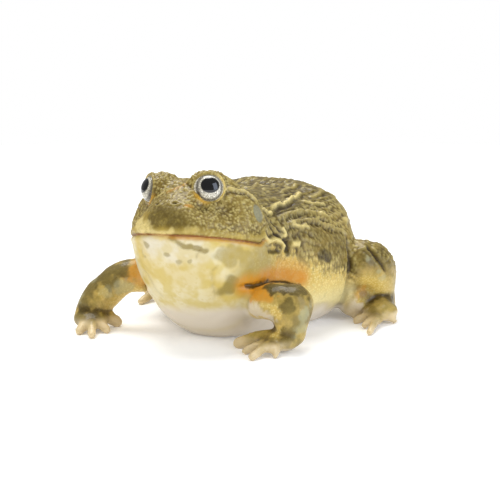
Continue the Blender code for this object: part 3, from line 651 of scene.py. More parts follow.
def one_mesh(surfaces, grain):
    """Joins closed surfaces into one mesh of even squares, as fine as the grain in millimetres."""
    starts = np.cumsum([0] + [len(points) for points, _ in surfaces])
    points = np.concatenate([points for points, _ in surfaces])
    faces = np.concatenate([faces + start for (_, faces), start in zip(surfaces, starts)])
    obj = new_object("joined_flesh", mesh_of("joined_flesh", points, faces))
    modifier = obj.modifiers.new("Join", "REMESH")
    modifier.mode = "VOXEL"
    modifier.voxel_size = grain * MM
    graph = bpy.context.evaluated_depsgraph_get()
    mesh = bpy.data.meshes.new_from_object(obj.evaluated_get(graph))
    bpy.data.objects.remove(obj)
    return mesh


def spread(values, edges, count):
    """The mean of the values at each point's neighbours, by column."""
    ends = np.concatenate([edges[:, 0], edges[:, 1]])
    others = np.concatenate([edges[:, 1], edges[:, 0]])
    degree = np.maximum(np.bincount(ends, minlength=count), 1)
    values = values.reshape(count, -1)
    sums = [np.bincount(ends, weights=values[others, k], minlength=count) for k in range(values.shape[1])]
    return np.stack(sums, axis=1) / degree[:, None]


def relaxed(points, edges, rounds, pull=0.5, push=-0.53):
    """Taubin smoothing: each round pulls the points to their neighbours' mean and pushes them back."""
    for _ in range(rounds):
        for step in (pull, push):
            points = points + step * (spread(points, edges, len(points)) - points)
    return points


def normals_of(mesh, points):
    """Puts the points into the mesh and reads its normals there."""
    mesh.vertices.foreach_set("co", (points * MM).ravel())
    mesh.update()
    return read_vectors(mesh.vertex_normals, "vector", 3)


def filled_creases(mesh, points, edges, rounds):
    """Moves the points of a crease outwards only, so that limbs run into the body as flesh does."""
    for _ in range(rounds):
        normals = normals_of(mesh, points)
        lift = ((spread(points, edges, len(points)) - points) * normals).sum(axis=1)
        points = points + 0.9 * np.maximum(lift, 0)[:, None] * normals
    return points


def refine(mesh, wanted):
    """Cuts every edge whose both ends are wanted in half, and fills the cells again."""
    points = read_vectors(mesh.vertices, "co", 3) / MM
    edges = read_vectors(mesh.edges, "vertices", 2)
    chosen = wanted(points)
    bm = bmesh.new()
    bm.from_mesh(mesh)
    bm.edges.ensure_lookup_table()
    picked = list(itertools.compress(bm.edges, chosen[edges].all(axis=1)))
    bmesh.ops.subdivide_edges(bm, edges=picked, cuts=1, use_grid_fill=True, use_single_edge=True)
    bm.to_mesh(mesh)
    bm.free()


# Noise, drawn from whole numbers so that it is the same each time.


def scrambled(cells, seed):
    """A number from 0 to 1 for each cell of a lattice, by multiplying and shifting its coordinates."""
    cells = cells.astype(np.int64)
    mixed = cells[..., 0] * 73856093 ^ cells[..., 1] * 19349663 ^ cells[..., 2] * 83492791 ^ seed * 2654435761
    for _ in range(2):
        mixed = (mixed ^ (mixed >> 16)) * 73244475 & 0xFFFFFFFF
    return (mixed ^ (mixed >> 16)) / 0xFFFFFFFF


def cloud(points, size, seed):
    """Smooth noise from -1 to 1: values at the corners of a lattice, blended by 3t^2 - 2t^3."""
    place = points / size + 1000.0
    cell = np.floor(place).astype(np.int64)
    t = place - cell
    t = t * t * (3 - 2 * t)
    total = np.zeros(len(points))
    for corner in itertools.product((0, 1), repeat=3):
        weight = np.prod(np.where(corner, t, 1 - t), axis=1)
        total += weight * scrambled(cell + np.array(corner), seed)
    return 2 * total - 1


def pebbles(points, size, seed):
    """Distance to the nearest of points set loosely in a lattice, in cell sizes, and that point's own
    number from 0 to 1."""
    place = points / size + 1000.0
    cell = np.floor(place).astype(np.int64)
    nearest = np.full(len(points), 9.0)
    own = np.zeros(len(points))
    for offset in itertools.product((-1, 0, 1), repeat=3):
        near = cell + np.array(offset)
        centre = near + np.stack([scrambled(near, seed + k) for k in range(3)], axis=1)
        distance = np.linalg.norm(centre - place, axis=1)
        closer = distance < nearest
        own = np.where(closer, scrambled(near, seed + 7), own)
        nearest = np.where(closer, distance, nearest)
    return nearest, own


def domes(points, size, seed, reach=0.62):
    """A dome over each pebble: 1 - (distance / reach)^2 and never below 0, with its own number."""
    nearest, own = pebbles(points, size, seed)
    return np.clip(1 - (nearest / reach) ** 2, 0, 1), own


# Relief and colour of the skin.

# Where one kind of skin passes into another. Each range is 0 at its first number and 1 at its
# second, in millimetres of the body before its head is tipped, or in degrees from the top.
HEAD_BEGINS_Y = (-38.0, -46.0)
SNOUT_BEGINS_Y = (-77.0, -83.0)
THROAT_BEGINS_Y = (-42.0, -60.0)
CHEEK_BEGINS_Y = (-40.0, -47.0)
BELLY_BEGINS_Y = (-56.0, -46.0)
BELLY_BEGINS_DEGREES = (116.0, 128.0)
CHEST_BEGINS_Y = (-44.0, -54.0)
CHEST_BEGINS_Z = (21.0, 15.0)
FLANK_BEGINS_DEGREES = (85.0, 95.0)
FLANK_FALL = 9.0  # degrees by which the yellow of the flank begins lower towards the rear
FLANK_FALLS_Y = (-28.0, 14.0)
LIMB_BEGINS_OUT = (1.03, 1.14)  # in shares of the body's section
LIMB_BEGINS_Z = (62.0, 55.0)
LIMB_BEHIND_SNOUT_Y = (-70.0, -62.0)
LIMB_UNDER_SNOUT_Z = (32.0, 24.0)
BACK_BEGINS_Z = (40.0, 56.0)
FLANK_GRAINS_BEGIN_Z = (22.0, 32.0)
FLANK_GRAINS_END_Z = (60.0, 68.0)
PALE_GRAINS_BEGIN_Z = (14.0, 30.0)
OLIVE_SIDE_BEGINS_Z = (30.0, 38.0)
OLIVE_SIDE_ENDS_Z = (52.0, 66.0)
CHEEK_GRAINS_BEGIN_Z = (50.0, 54.0)
BROW_BEGINS_Z = (79.0, 83.0)

# Lips and the groove between them: height above the mouth line, width and how far they stand out.
MOUTH_BANDS = ((2.4, 1.8, 0.7), (-2.2, 1.5, 0.55), (0.0, 0.5, -1.2))
UPPER_LIP_Z = MOUTH_BANDS[0][0]
MOUTH_REACH = 12.0
FACE_BEGINS_OUT = (0.6, 0.8)  # in shares of the head's section
GROOVE_WIDTH = 0.4
GROOVE_RED_Y = (-46.0, -64.0)
LIP_EDGE_Z = -0.9
LIP_EDGE_X = (-12.0, 10.0)  # the orange edge of the lower lip fades out on the frog's right
CHIN_BEGINS_Y = (-40.0, -50.0)

RIB_SPACING = 2.1
RIB_HEIGHT = 0.75
RIB_REACH = 3.2

# Granules: size of one cell of the loose lattice, and a seed.
FLANK_GRAINS = (1.75, 22)
BACK_GRAINS = (2.6, 21)
CHEEK_GRAINS = (1.3, 23)
BROW_GRAINS = (2.1, 24)
LEG_GRAINS = (2.3, 25)

WRINKLE_SPACING = 4.3
WRINKLE_HEIGHT = 0.55
WRINKLE_AXIS_Z = 28.0  # the way round the back is measured about this line, at the radius below
WRINKLE_RADIUS = 52.0
# Crests are coloured with painted highlight and hollows with painted shade.
FULL_RELIEF = 0.35  # a crest or hollow of this height has its whole colour
# Rounds of smoothing: the joined flesh, its creases, the flesh after that, the refined skin, and
# the smoothed copy from which crests and hollows are read.
JOINED_ROUNDS = 6
CREASE_ROUNDS = 4
FILLED_ROUNDS = 4
REFINED_ROUNDS = 6
COPY_ROUNDS = 8

# Boxes in which granules need small faces: their low and high corners.
FAR = math.inf
FINE_BOXES = {
    "head": ((-FAR, -FAR, 44.0), (FAR, -30.0, FAR)),
    "back": ((-30.0, -FAR, 60.0), (FAR, 32.0, FAR)),
    "left flank": ((24.0, -FAR, 26.0), (FAR, 22.0, FAR)),
    "left leg": ((50.0, 0.0, 24.0), (FAR, 45.0, FAR)),
}


def line_distance(points, line):
    """Distance of each point from a line of points, and how far along it the nearest place is."""
    starts, steps = line[:-1], np.diff(line, axis=0)
    lengths = np.linalg.norm(steps, axis=1)
    gone = np.concatenate([[0], np.cumsum(lengths)])
    best = np.full(len(points), 1e9)
    along = np.zeros(len(points))
    for start, step, length, before in zip(starts, steps, lengths, gone):
        share = np.clip((points - start) @ step / length**2, 0, 1)
        distance = np.linalg.norm(points - start - share[:, None] * step, axis=1)
        closer = distance < best
        best = np.where(closer, distance, best)
        along = np.where(closer, (before + share * length) / gone[-1], along)
    return best, along


class Skin:
    """The points of the skin while its relief is worked out: normals, unposed places and colour shares."""

    # hollow and crest carry painted shade and highlight, shine carries painted highlight, and dark holds both
    # real blotches and painted shade.
    SHARES = tuple(
        "pale belly yellow orange dark cream red lip drum digit limb gold "
        "hollow crest granule honey white khaki shine".split()
    )

    def __init__(self, mesh, points):
        self.mesh = mesh
        self.edges = read_vectors(mesh.edges, "vertices", 2)
        self.set_points(points)
        self.share = {name: np.zeros(len(points)) for name in self.SHARES}
        self.lift = np.zeros(len(points))
        self.calm = np.ones(len(points))
        self.tree = BVHTree.FromPolygons(points.tolist(), [list(p.vertices) for p in mesh.polygons])

    def set_points(self, points):
        """Moves the skin, and works out its normals and its places in the unposed body again."""
        self.points = points
        self.normals = normals_of(self.mesh, points)
        self.plain = tip_head(points, back=True)

    def on_skin(self, places):
        """The nearest points of the skin to the places."""
        return np.array([self.tree.find_nearest(Vector(place))[0] for place in places])

    def near(self, line, reach):
        """Which points lie in the box round a line, grown by the reach."""
        inside = (self.points > line.min(axis=0) - reach) & (self.points < line.max(axis=0) + reach)
        return np.flatnonzero(inside.all(axis=1))

    def round_line(self, line, reach, taper):
        """The points near a line, their distance from it, how far along it they lie from 0 to 1, and
        a share that is 1 but falls to 0 over the taper at both ends."""
        near = self.near(line, reach)
        distance, along = line_distance(self.points[near], line)
        ends = share_between(along, 0, taper) * share_between(1 - along, 0, taper)
        return near, distance, along, ends

    def along(self, places, side=1, per_span=6):
        """A line on the skin through places of the body, which wander a little on the frog's right."""
        y, degrees = np.array(places, float).T
        wander = 0.0 if side > 0 else 1.6
        shifted = np.stack([y + wander * np.sin(y), degrees + wander * np.cos(0.7 * y)], axis=1)
        return self.on_skin(smooth_line(skin_places(shifted, side), per_span))

    def add(self, name, amount, where=slice(None)):
        """Raises a colour's share to the amount where it is less."""
        self.share[name][where] = np.maximum(self.share[name][where], amount)


def raise_folds(skin, height):
    """Adds each fold as a bell across its line, thinned at its ends and beaded along it, with a
    shallow trough on both sides."""
    for side in (1, -1):
        for number, (places, width, crest, cream) in enumerate(FOLDS.values()):
            near, distance, _, ends = skin.round_line(skin.along(places, side), 5 * width, 0.14)
            here = skin.points[near]
            distance = distance + 0.5 * width * cloud(here, 2.4, 60 + number)
            beads = 0.75 + 0.35 * cloud(here, 1.9, 40 + number)
            shape = beads * bell(distance, width) - 0.3 * bell(distance - 2.2 * width, width)
            skin.lift[near] += height * crest * ends * shape
            skin.add("cream", cream * ends * bell(distance, 0.85 * width), near)


def cut_furrows(skin):
    """Takes each furrow out of the skin as a bell across its line, and darkens it."""
    for side in (1, -1):
        for places, width, depth in FURROWS.values():
            near, distance, _, ends = skin.round_line(skin.along(places, side), 4 * width, 0.15)
            skin.lift[near] -= depth * ends * bell(distance, width)
            bare = 1 - 0.75 * skin.share["pale"][near]
            # Painted shade in the furrow.
            skin.add("hollow", 0.9 * bare * ends * bell(distance, 0.8 * width), near)
    for places, width, depth in LIMB_FURROWS.values():
        line = skin.on_skin(smooth_line(places, 6))
        near, distance, _, ends = skin.round_line(line, 4 * width, 0.2)
        skin.lift[near] -= depth * ends * bell(distance, width)
        # Painted shade in the limb's furrow.
        skin.add("dark", 0.6 * ends * bell(distance, 0.9 * width), near)


def rib_shoulder(skin):
    """Short ribs over the shoulder: a sine wave along each of the two arcs, under a bell across it."""
    for name in ("arc", "second arc"):
        for side in (1, -1):
            line = skin.along(FOLDS[name][0], side)
            near, distance, along, ends = skin.round_line(line, 9, 0.1)
            length = np.linalg.norm(np.diff(line, axis=0), axis=1).sum()
            sway = 1.2 * cloud(skin.points[near], 4.0, 66)
            ribs = np.sin(2 * np.pi * along * length / RIB_SPACING + sway)
            skin.lift[near] += 0.5 * RIB_HEIGHT * ribs * ends * bell(distance, RIB_REACH)


def draw_marks(skin):
    """Colours near the line of each mark, with a ragged edge, and round the middle of each patch of
    the limbs. Washes of orange, honey and white, and broad marks, fade out more softly."""
    for number, (name, places, width, amount) in enumerate(MARKS.values()):
        line = skin.on_skin(smooth_line(skin_places(places), 5))
        near = skin.near(line, 2.8 * width)
        here = skin.points[near]
        distance, _ = line_distance(here, line)
        rough = 0.2 if name == "orange" else 0.5
        ragged = distance + rough * width * cloud(here, 1.6 * max(width, 1.5), 70 + number)
        ragged = ragged + 0.7 * rough * width * cloud(here, 0.7 * width + 0.3, 50 + number)
        soft = 0.7 if name in ("orange", "honey", "white") or width > 7 else 0.4
        skin.add(name, amount * share_between(ragged, (1 + soft) * width, (1 - soft) * width), near)
    for number, (name, place, radius, amount) in enumerate(LIMB_PATCHES):
        distance = np.linalg.norm(skin.points - np.array(place), axis=1)
        near = np.flatnonzero(distance < 1.8 * radius)
        here = skin.points[near]
        rough = 0.5 * cloud(here, 4.0, 90 + number) + 0.35 * cloud(here, 1.9, 95)
        inside = share_between(distance[near] / radius + rough, 1.1, 0.75)
        skin.add(name, amount * inside * skin.share["limb"][near], near)


def shape_mouth(skin):
    """The mouth is a groove along its line, between two lips that are bells of the height above it.
    The upper lip is speckled, the lower one has an orange edge, and the throat begins below."""
    x, y, z = skin.plain.T
    above = z - mouth_height(skin.plain)
    body = 1 - skin.share["limb"]
    ahead = share_between(y, MOUTH_CORNER_Y + 1.0, MOUTH_CORNER_Y - 4.0) * body
    outside = share_between(section_share(skin.plain), *FACE_BEGINS_OUT)
    on_face = ahead * outside * (np.abs(above) < MOUTH_REACH)
    bumps = 0.25 * cloud(skin.points * (1, 1, 0.4), 2.6, 51) * bell(above - 2.6, 1.6)
    lips = sum(stands * bell(above - height, width) for height, width, stands in MOUTH_BANDS)
    skin.lift += on_face * (lips + bumps)
    groove = on_face * bell(above, GROOVE_WIDTH)
    skin.share["red"] = groove * share_between(y, *GROOVE_RED_Y)
    # Painted shade in the groove of the mouth.
    skin.add("hollow", groove)
    speckles = 0.65 + 0.5 * cloud(skin.points, 3.0, 52)
    skin.add("lip", on_face * bell(above - UPPER_LIP_Z, 2.2) * speckles)
    skin.add("orange", 0.7 * on_face * bell(above - LIP_EDGE_Z, 0.8) * share_between(x, *LIP_EDGE_X))
    skin.add("pale", share_between(above, 0.1, -0.5) * share_between(y, *CHIN_BEGINS_Y) * body)


def dent_head(skin):
    """Lowers the head by a bell round each dent, so that the eyeballs stand out of it."""
    for side in (1, -1):
        for place, depth, width in HEAD_DENTS:
            centre = tip_head(np.array(place) * (side, 1, 1))
            distance = np.linalg.norm(skin.points - centre, axis=1)
            skin.points = skin.points - (depth * bell(distance, width))[:, None] * skin.normals
    skin.set_points(skin.points)


def open_eyes(skin):
    """Moves the skin round each eye along the spokes from its centre. Skin that would cover the
    eyeball lies behind it inside the opening and rises to the edge of the lid outside. Skin that
    runs away from the eyeball is only drawn up to that edge."""
    for side in (1, -1):
        centre, axis, across, up = eye_frame(side)
        spoke = skin.points - centre
        distance = np.linalg.norm(spoke, axis=1)
        near = np.flatnonzero(distance < EYE_RADIUS + LID_REACH)
        spoke, distance = spoke[near], distance[near]
        turned = np.degrees(np.arccos(np.clip(spoke @ axis / distance, -1, 1)))
        around = np.arctan2(spoke @ up, side * (spoke @ across))
        upper = np.maximum(np.sin(around), 0) ** 2
        lower = np.maximum(-np.sin(around), 0) ** 2
        at_side, at_top, at_bottom = LID_OPENINGS[side]
        edge = at_side + (at_top - at_side) * upper + (at_bottom - at_side) * lower
        past = np.radians(turned - edge) * EYE_RADIUS
        facing = np.abs((spoke * skin.normals[near]).sum(axis=1)) / distance
        away = distance - EYE_RADIUS - LID_NEAR - LID_HOLD * share_between(facing, *LID_FACING)
        beyond = np.maximum(past, away)
        rim = EYE_RADIUS + LID_RIM + (BROW_RIM - LID_RIM) * np.sqrt(upper)
        rim = np.minimum(rim, np.maximum(distance + LID_RISE, EYE_RADIUS + 0.5))
        inner = EYE_RADIUS - LID_BEHIND
        lid = inner + (rim - inner) * share_between(beyond, *LID_EDGE)
        kept = np.maximum(distance, EYE_RADIUS + LID_CLEAR)
        new = lid + (kept - lid) * share_between(beyond, LID_EDGE[1], LID_WIDTH)
        skin.points[near] = centre + spoke / distance[:, None] * new[:, None]
        front = share_between(-np.cos(around), -0.3, 0.6) * share_between(-np.sin(around), 0.0, 0.6)
        rear = share_between(np.cos(around), 0.2, 0.9)
        skin.add("gold", bell(beyond - 1.0, 1.1) * front, near)
        skin.add("yellow", bell(beyond - 0.5, 0.6) * rear, near)
        skin.calm[near] *= share_between(beyond, 0.6, 1.8)
    skin.set_points(skin.points)


def shape_head(skin):
    """Nostrils are pits with a raised edge, and the ear drum is a sunk disc with a bulge before it."""
    for side in (1, -1):
        nostril = skin.on_skin([tip_head(np.array(NOSTRIL) * (side, 1, 1))])[0]
        slit = np.linalg.norm((skin.points - nostril) * (0.8, 0.8, 2.2), axis=1)
        skin.lift += 0.35 * bell(slit - 1.7, 0.8) - NOSTRIL_DEPTH * bell(slit, 0.8)
        # Painted shade in the nostril pit.
        skin.add("hollow", bell(slit, 0.8))
        skin.add("dark", 0.9 * bell(slit, 0.7))
        ear = skin.on_skin(skin_places([EAR_PLACE], side))[0]
        from_ear = np.linalg.norm((skin.points - ear) * (1.0, 1.25, 0.85), axis=1)
        inside = share_between(from_ear, EAR_RADIUS + 0.3, EAR_RADIUS - 0.9)
        skin.lift += 0.3 * bell(from_ear - EAR_RADIUS - 0.8, 0.8) - EAR_DEPTH * inside
        skin.add("drum", inside)
        bulge = skin.on_skin(skin_places([CHEEK_BULGE], side))[0]
        from_bulge = np.linalg.norm(skin.points - bulge, axis=1)
        skin.lift += CHEEK_BULGE_HEIGHT * bell(from_bulge, CHEEK_BULGE_RADIUS)


def flank_granules(skin):
    """Granules of the flank, drawn out upwards."""
    return domes(skin.plain * (1.0, 1.0, 0.6), *FLANK_GRAINS)


def give_regions(skin):
    """Shares of the body's colours by where a point lies: cream throat, pale belly, and flanks that
    are yellow below a line that follows their granules."""
    _, y, z = skin.plain.T
    degrees = degrees_round(skin.plain)
    soft = cloud(skin.points, 7.0, 3)
    fine = cloud(skin.points, 1.8, 4)
    above_mouth = z - mouth_height(skin.plain)
    past_snout = np.maximum(share_between(y, *LIMB_BEHIND_SNOUT_Y), share_between(z, *LIMB_UNDER_SNOUT_Z))
    outside = share_between(section_share(skin.plain), *LIMB_BEGINS_OUT)
    skin.share["limb"] = outside * share_between(z, *LIMB_BEGINS_Z) * past_snout
    body = 1 - skin.share["limb"]
    throat = share_between(y - 4.0 * soft - 2.5 * fine, *THROAT_BEGINS_Y) * share_between(above_mouth, 0, -1)
    dome, own = flank_granules(skin)
    falls = FLANK_FALL * share_between(y, *FLANK_FALLS_Y)
    ragged = 3.0 * soft + 2.0 * fine + 6.0 * dome * (own + 0.3)
    yellow = share_between(degrees - falls + ragged, *FLANK_BEGINS_DEGREES)
    belly = share_between(degrees + 4.0 * soft, *BELLY_BEGINS_DEGREES) * share_between(y, *BELLY_BEGINS_Y)
    chest = share_between(z + 2.0 * soft, *CHEST_BEGINS_Z) * share_between(y, *CHEST_BEGINS_Y)
    belly = np.maximum(belly, chest)
    cheek = share_between(y, *CHEEK_BEGINS_Y) * share_between(above_mouth, -1, 0)
    skin.add("pale", body * np.maximum(throat, belly))
    skin.add("belly", body * belly)
    skin.add("yellow", body * yellow * (1 - belly) * (1 - throat) * (1 - cheek))


def colour_limbs(skin):
    """Limbs are blotched where they face up or outwards, yellow beneath, pale at the floor and bare
    at the tips of fingers and toes."""
    x, y, z = skin.points.T
    limb = skin.share["limb"]
    upward = skin.normals[:, 2] + 0.5 * np.sign(x) * skin.normals[:, 0] * (z > 8)
    downward = -skin.normals[:, 2]
    pattern = cloud(skin.points, 9.0, 9) + 0.5 * cloud(skin.points, 4.0, 10)
    rear = share_between(y, -20, 0)
    blotches = share_between(pattern + 0.2 * rear, 0.05, 0.35) * (0.45 + 0.2 * rear)
    skin.add("dark", limb * blotches * share_between(upward, 0.1, 0.6) * share_between(z, 2, 8))
    skin.add("yellow", limb * share_between(downward, 0.05, 0.75) * share_between(z, 4, 12))
    skin.add("belly", limb * share_between(downward, 0.5, 0.95) * share_between(z, 14, 8))
    for data in (*ARMS.values(), *LEGS.values()):
        for tip in data["tips"]:
            near_tip = bell(np.hypot(x - tip[0], y - tip[1]), 8.0) * share_between(z, 8, 5)
            skin.add("digit", near_tip * limb)


def wrinkle_back(skin, amount):
    """Wrinkles run along the back: a sine wave of the way round it, swayed and broken by noise."""
    x, _, z = skin.plain.T
    girth = WRINKLE_RADIUS * np.arctan2(np.abs(x), np.maximum(z - WRINKLE_AXIS_Z, 1.0)) * np.sign(x)
    sway = 1.6 * cloud(skin.points * (1, 0.5, 1), 9.0, 11) + 0.7 * cloud(skin.points, 3.5, 12)
    wave = np.sin(2 * np.pi * girth / WRINKLE_SPACING + 2.0 * sway) * 0.5 + 0.5
    breaks = share_between(cloud(skin.points * (1, 0.45, 1), 5.0, 13), -0.45, 0.2)
    skin.lift += WRINKLE_HEIGHT * amount * (wave**2 * breaks - 0.3)


def add_warts(skin):
    """Granules over the wrinkles: long and upright on the flanks, round on the back, brow and hind
    legs, and fine elsewhere. Each one's own number says how pale it is, and smooth skin has none."""
    _, y, z = skin.plain.T
    share = skin.share
    body = 1 - share["limb"]
    head = share_between(y, *HEAD_BEGINS_Y)
    snout = share_between(y, *SNOUT_BEGINS_Y)
    smooth = np.maximum.reduce([share["pale"], share["drum"], share["red"], 0.8 * share["orange"]])
    rough = (1 - smooth) * (1 - 0.9 * share["hollow"])
    trunk = (1 - head) * body
    top = share_between(z, *BACK_BEGINS_Z) * trunk
    wrinkle_back(skin, rough * top)

    dome, own = flank_granules(skin)
    flank = share_between(z, *FLANK_GRAINS_BEGIN_Z) * (1 - share_between(z, *FLANK_GRAINS_END_Z)) * trunk
    skin.lift += 0.42 * rough * (dome - 0.4) * flank
    skin.add("granule", flank * dome * (0.35 + 0.65 * own))

    dome, own = domes(skin.plain * (1, 0.7, 1), *BACK_GRAINS)
    dome = dome * (own > 0.25)
    skin.lift += 0.45 * rough * dome * top
    skin.add("granule", 0.8 * top * dome * own)

    dome, own = domes(skin.points, *CHEEK_GRAINS)
    cheek = head * share_between(z, *CHEEK_GRAINS_BEGIN_Z) * (1 - 0.85 * snout)
    skin.lift += rough * (dome - 0.4) * (0.14 * (1 - snout) + 0.26 * cheek)
    skin.add("granule", cheek * dome * (0.3 + 0.7 * (own > 0.35)))
    high = share_between(z, *PALE_GRAINS_BEGIN_Z)
    skin.add("granule", 0.4 * share["yellow"] * dome * trunk * high)
    skin.add("white", 0.8 * share["yellow"] * body * (1 - high))

    dome, own = domes(skin.points, *BROW_GRAINS, reach=0.6)
    skin.lift += 0.5 * share_between(z, *BROW_BEGINS_Z) * (own > 0.3) * dome

    legs = share["limb"] * share_between(skin.normals[:, 2], -0.1, 0.5) * share_between(y, -10, 10)
    legs = legs * share_between(skin.points[:, 2], 12, 18)
    dome, own = domes(skin.points, *LEG_GRAINS)
    skin.lift += 0.8 * legs * dome * (0.4 + 0.6 * own)
    skin.add("granule", 0.8 * legs * dome * own)

    # The hind legs are coloured like the back, and the sides and cheeks a little like limbs.
    share["limb"] = share["limb"] * (1 - 0.8 * legs)
    side = share_between(z, *OLIVE_SIDE_BEGINS_Z) * (1 - share_between(z, *OLIVE_SIDE_ENDS_Z)) * trunk
    skin.add("limb", np.maximum(0.7 * side, 0.4 * cheek))


def crease_throat(skin):
    """Shallow waves across the throat and belly, as loose skin has, and broad dents everywhere."""
    wave = np.sin(skin.plain[:, 1] * 0.8 + 3.0 * cloud(skin.points, 11.0, 31))
    skin.lift += 0.10 * skin.share["pale"] * wave
    skin.lift += 0.45 * cloud(skin.points, 14.0, 32) + 0.2 * cloud(skin.points, 6.0, 33)


def read_hollows(skin, rounds):
    """Crest and hollow are how far the finished relief stands out of its own smoothed copy."""
    smooth = skin.points
    for _ in range(rounds):
        smooth = spread(smooth, skin.edges, len(smooth))
    stands = ((skin.points - smooth) * skin.normals).sum(axis=1) / FULL_RELIEF
    # Crests get painted highlight and hollows painted shade in the hide's colours.
    skin.add("crest", np.clip(stands, 0, 1))
    skin.add("hollow", np.clip(-stands, 0, 1))


def fine_places(points):
    """Whether each point lies in one of the boxes whose granules need small faces."""
    inside = [((points > low) & (points < high)).all(axis=1) for low, high in FINE_BOXES.values()]
    return np.any(inside, axis=0)


def by_the_eyes(points):
    """Whether each point lies on or near the lids."""
    from_eyes = [np.linalg.norm(points - eye_frame(side)[0], axis=1) for side in (1, -1)]
    return np.min(from_eyes, axis=0) < EYE_RADIUS + 3.0


def skin_mesh(grain, fold_height):
    """The whole skin: flesh joined, creases filled, head refined, then relief added along the normals."""
    mesh = one_mesh(flesh_surfaces(), grain)
    points = read_vectors(mesh.vertices, "co", 3) / MM
    edges = read_vectors(mesh.edges, "vertices", 2)
    points = relaxed(points, edges, JOINED_ROUNDS)
    points = filled_creases(mesh, points, edges, CREASE_ROUNDS)
    points = relaxed(points, edges, FILLED_ROUNDS)
    mesh.vertices.foreach_set("co", (points * MM).ravel())
    refine(mesh, fine_places)
    refine(mesh, by_the_eyes)
    points = read_vectors(mesh.vertices, "co", 3) / MM
    points = relaxed(points, read_vectors(mesh.edges, "vertices", 2), REFINED_ROUNDS)
    skin = Skin(mesh, points)
    dent_head(skin)
    open_eyes(skin)
    give_regions(skin)
    colour_limbs(skin)
    shape_mouth(skin)
    shape_head(skin)
    raise_folds(skin, fold_height)
    rib_shoulder(skin)
    cut_furrows(skin)
    draw_marks(skin)
    add_warts(skin)
    crease_throat(skin)
    base = skin.points[:, 2]
    skin.set_points(skin.points + (skin.calm * skin.lift)[:, None] * skin.normals)
    # Nothing sinks through the floor.
    settled = skin.points.copy()
    settled[:, 2] = np.maximum(settled[:, 2], np.minimum(0.0, base))
    skin.set_points(settled)
    read_hollows(skin, COPY_ROUNDS)
    for name, values in skin.share.items():
        layer = mesh.attributes.new(name, "FLOAT", "POINT")
        layer.data.foreach_set("value", np.clip(values, 0, 1).astype(np.float32))
    return mesh


# Materials.

# How the colours of the hide lie over one another, in order: what is made, the colour below, the
# colour above, how strongly it covers, and what it follows. That is a share of the skin or a
# pattern, and numbers after it are the range over which it goes from 0 to 1, or from the third
# number to the fourth.
HIDE_LAYERS = (
    # Back: dark olive and olive in patches, tan mottle, and painted shade between the granules, where their
    # bump sinks, so that their tops stay tan.
    ("back", "dark olive", "olive", 1.0, [("patches", 0.42, 0.6)]),
    ("back", "back", "#978339", 0.6, [("mottle", 0.45, 0.72)]),
    ("back", "back", "#4A3C14", 0.5, [("grain", 0.35, 0.8)]),
    # Limbs: yellow olive. Granules everywhere have pale tops.
    ("limbs", "#AE924A", "#8F7A35", 1.0, [("mottle", 0.35, 0.7)]),
    ("hide", "back", "limbs", 1.0, [("limb",)]),
    ("hide", "hide", "#CDBD7A", 0.7, [("granule",)]),
    # Throat: cream, faintly marbled with yellow, with washes of honey and white.
    ("throat", "#DBCFA6", "#CFBC78", 1.0, [("patches", 0.4, 0.62)]),
    ("throat", "throat", "#C2AA5C", 0.4, [("mottle", 0.5, 0.75)]),
    ("throat", "throat", "#C9AF58", 1.0, [("honey",), ("patches", 0.3, 0.6, 0.6, 1.0)]),
    ("throat", "throat", "#D9D1BF", 1.0, [("white",), ("patches", 0.35, 0.6, 1.0, 0.5)]),
    ("hide", "hide", "throat", 1.0, [("pale",)]),
    # Flank: yellow with pale granules, whiter low down. Belly: off-white.
    ("flank", "#E4CE80", "#D2B25A", 1.0, [("grain", 0.2, 0.6)]),
    ("flank", "flank", "#E6D9A0", 1.0, [("white",)]),
    ("hide", "hide", "flank", 1.0, [("yellow",), ("mottle", 0.2, 0.5, 0.75, 1.0)]),
    ("hide", "hide", "#DCD0BC", 1.0, [("belly",)]),
    # Marks: ochre lips, khaki and orange blotches, and dark ones over them. The dark share holds real
    # blotches and painted shade in furrows, creases and nostrils.
    ("hide", "hide", "#B89C42", 0.8, [("lip",)]),
    ("hide", "hide", "#887639", 1.0, [("khaki",), ("grit", 0.2, 0.5, 0.8, 1.0)]),
    ("hide", "hide", "#CF8A1E", 1.0, [("orange",), ("mottle", 0.25, 0.6, 0.7, 1.0)]),
    ("hide", "hide", "#463910", 1.0, [("dark",), ("grit", 0.2, 0.5, 0.75, 1.0)]),
    # Relief: painted highlight in tan on crests and painted shade in dark on hollows, less so on pale skin.
    # Folds are cream.
    ("hide", "hide", "#BFAA60", 0.25, [("crest",), ("bare",)]),
    ("hide", "hide", "#38280A", 0.8, [("hollow",), ("bare",)]),
    ("hide", "hide", "#E4CF86", 1.0, [("cream",), ("grit", 0.25, 0.55, 0.6, 1.1)]),
    # Small places: painted highlight of wet sheen, bare finger tips, ear drums, gold edge of the lids, red of
    # the mouth.
    ("hide", "hide", "#A8A57C", 0.8, [("shine",)]),
    ("hide", "hide", "#DDC79C", 0.9, [("digit",)]),
    ("hide", "hide", "#918E72", 0.85, [("drum",)]),
    ("hide", "hide", "#D8A634", 0.9, [("gold",)]),
    ("hide", "hide", "#B5652A", 0.7, [("red",)]),
)
# Patterns of the hide: size of one patch in millimetres, detail and roughness of its noise.
HIDE_NOISES = {"patches": (9.0, 2.0, 0.55), "mottle": (2.6, 3.0, 0.6), "grit": (0.9, 2.0, 0.6)}
HIDE_GRAIN = 1.1  # the finest granules, drawn as wide as they need to show
HIDE_BUMP = 0.35  # how high grain and grit stand, in millimetres
GRAIN_BUMP = 0.8  # share of each in that height
GRIT_BUMP = 0.5
BARE_BUMP = 0.6  # strength of the bumps where the skin is neither pale nor yellow
# Rough where the mottle is high: the range of the mottle, and the roughness at its ends.
HIDE_ROUGHNESS = (0.3, 0.7, 0.38, 0.55)
WET_IOR = 1.38
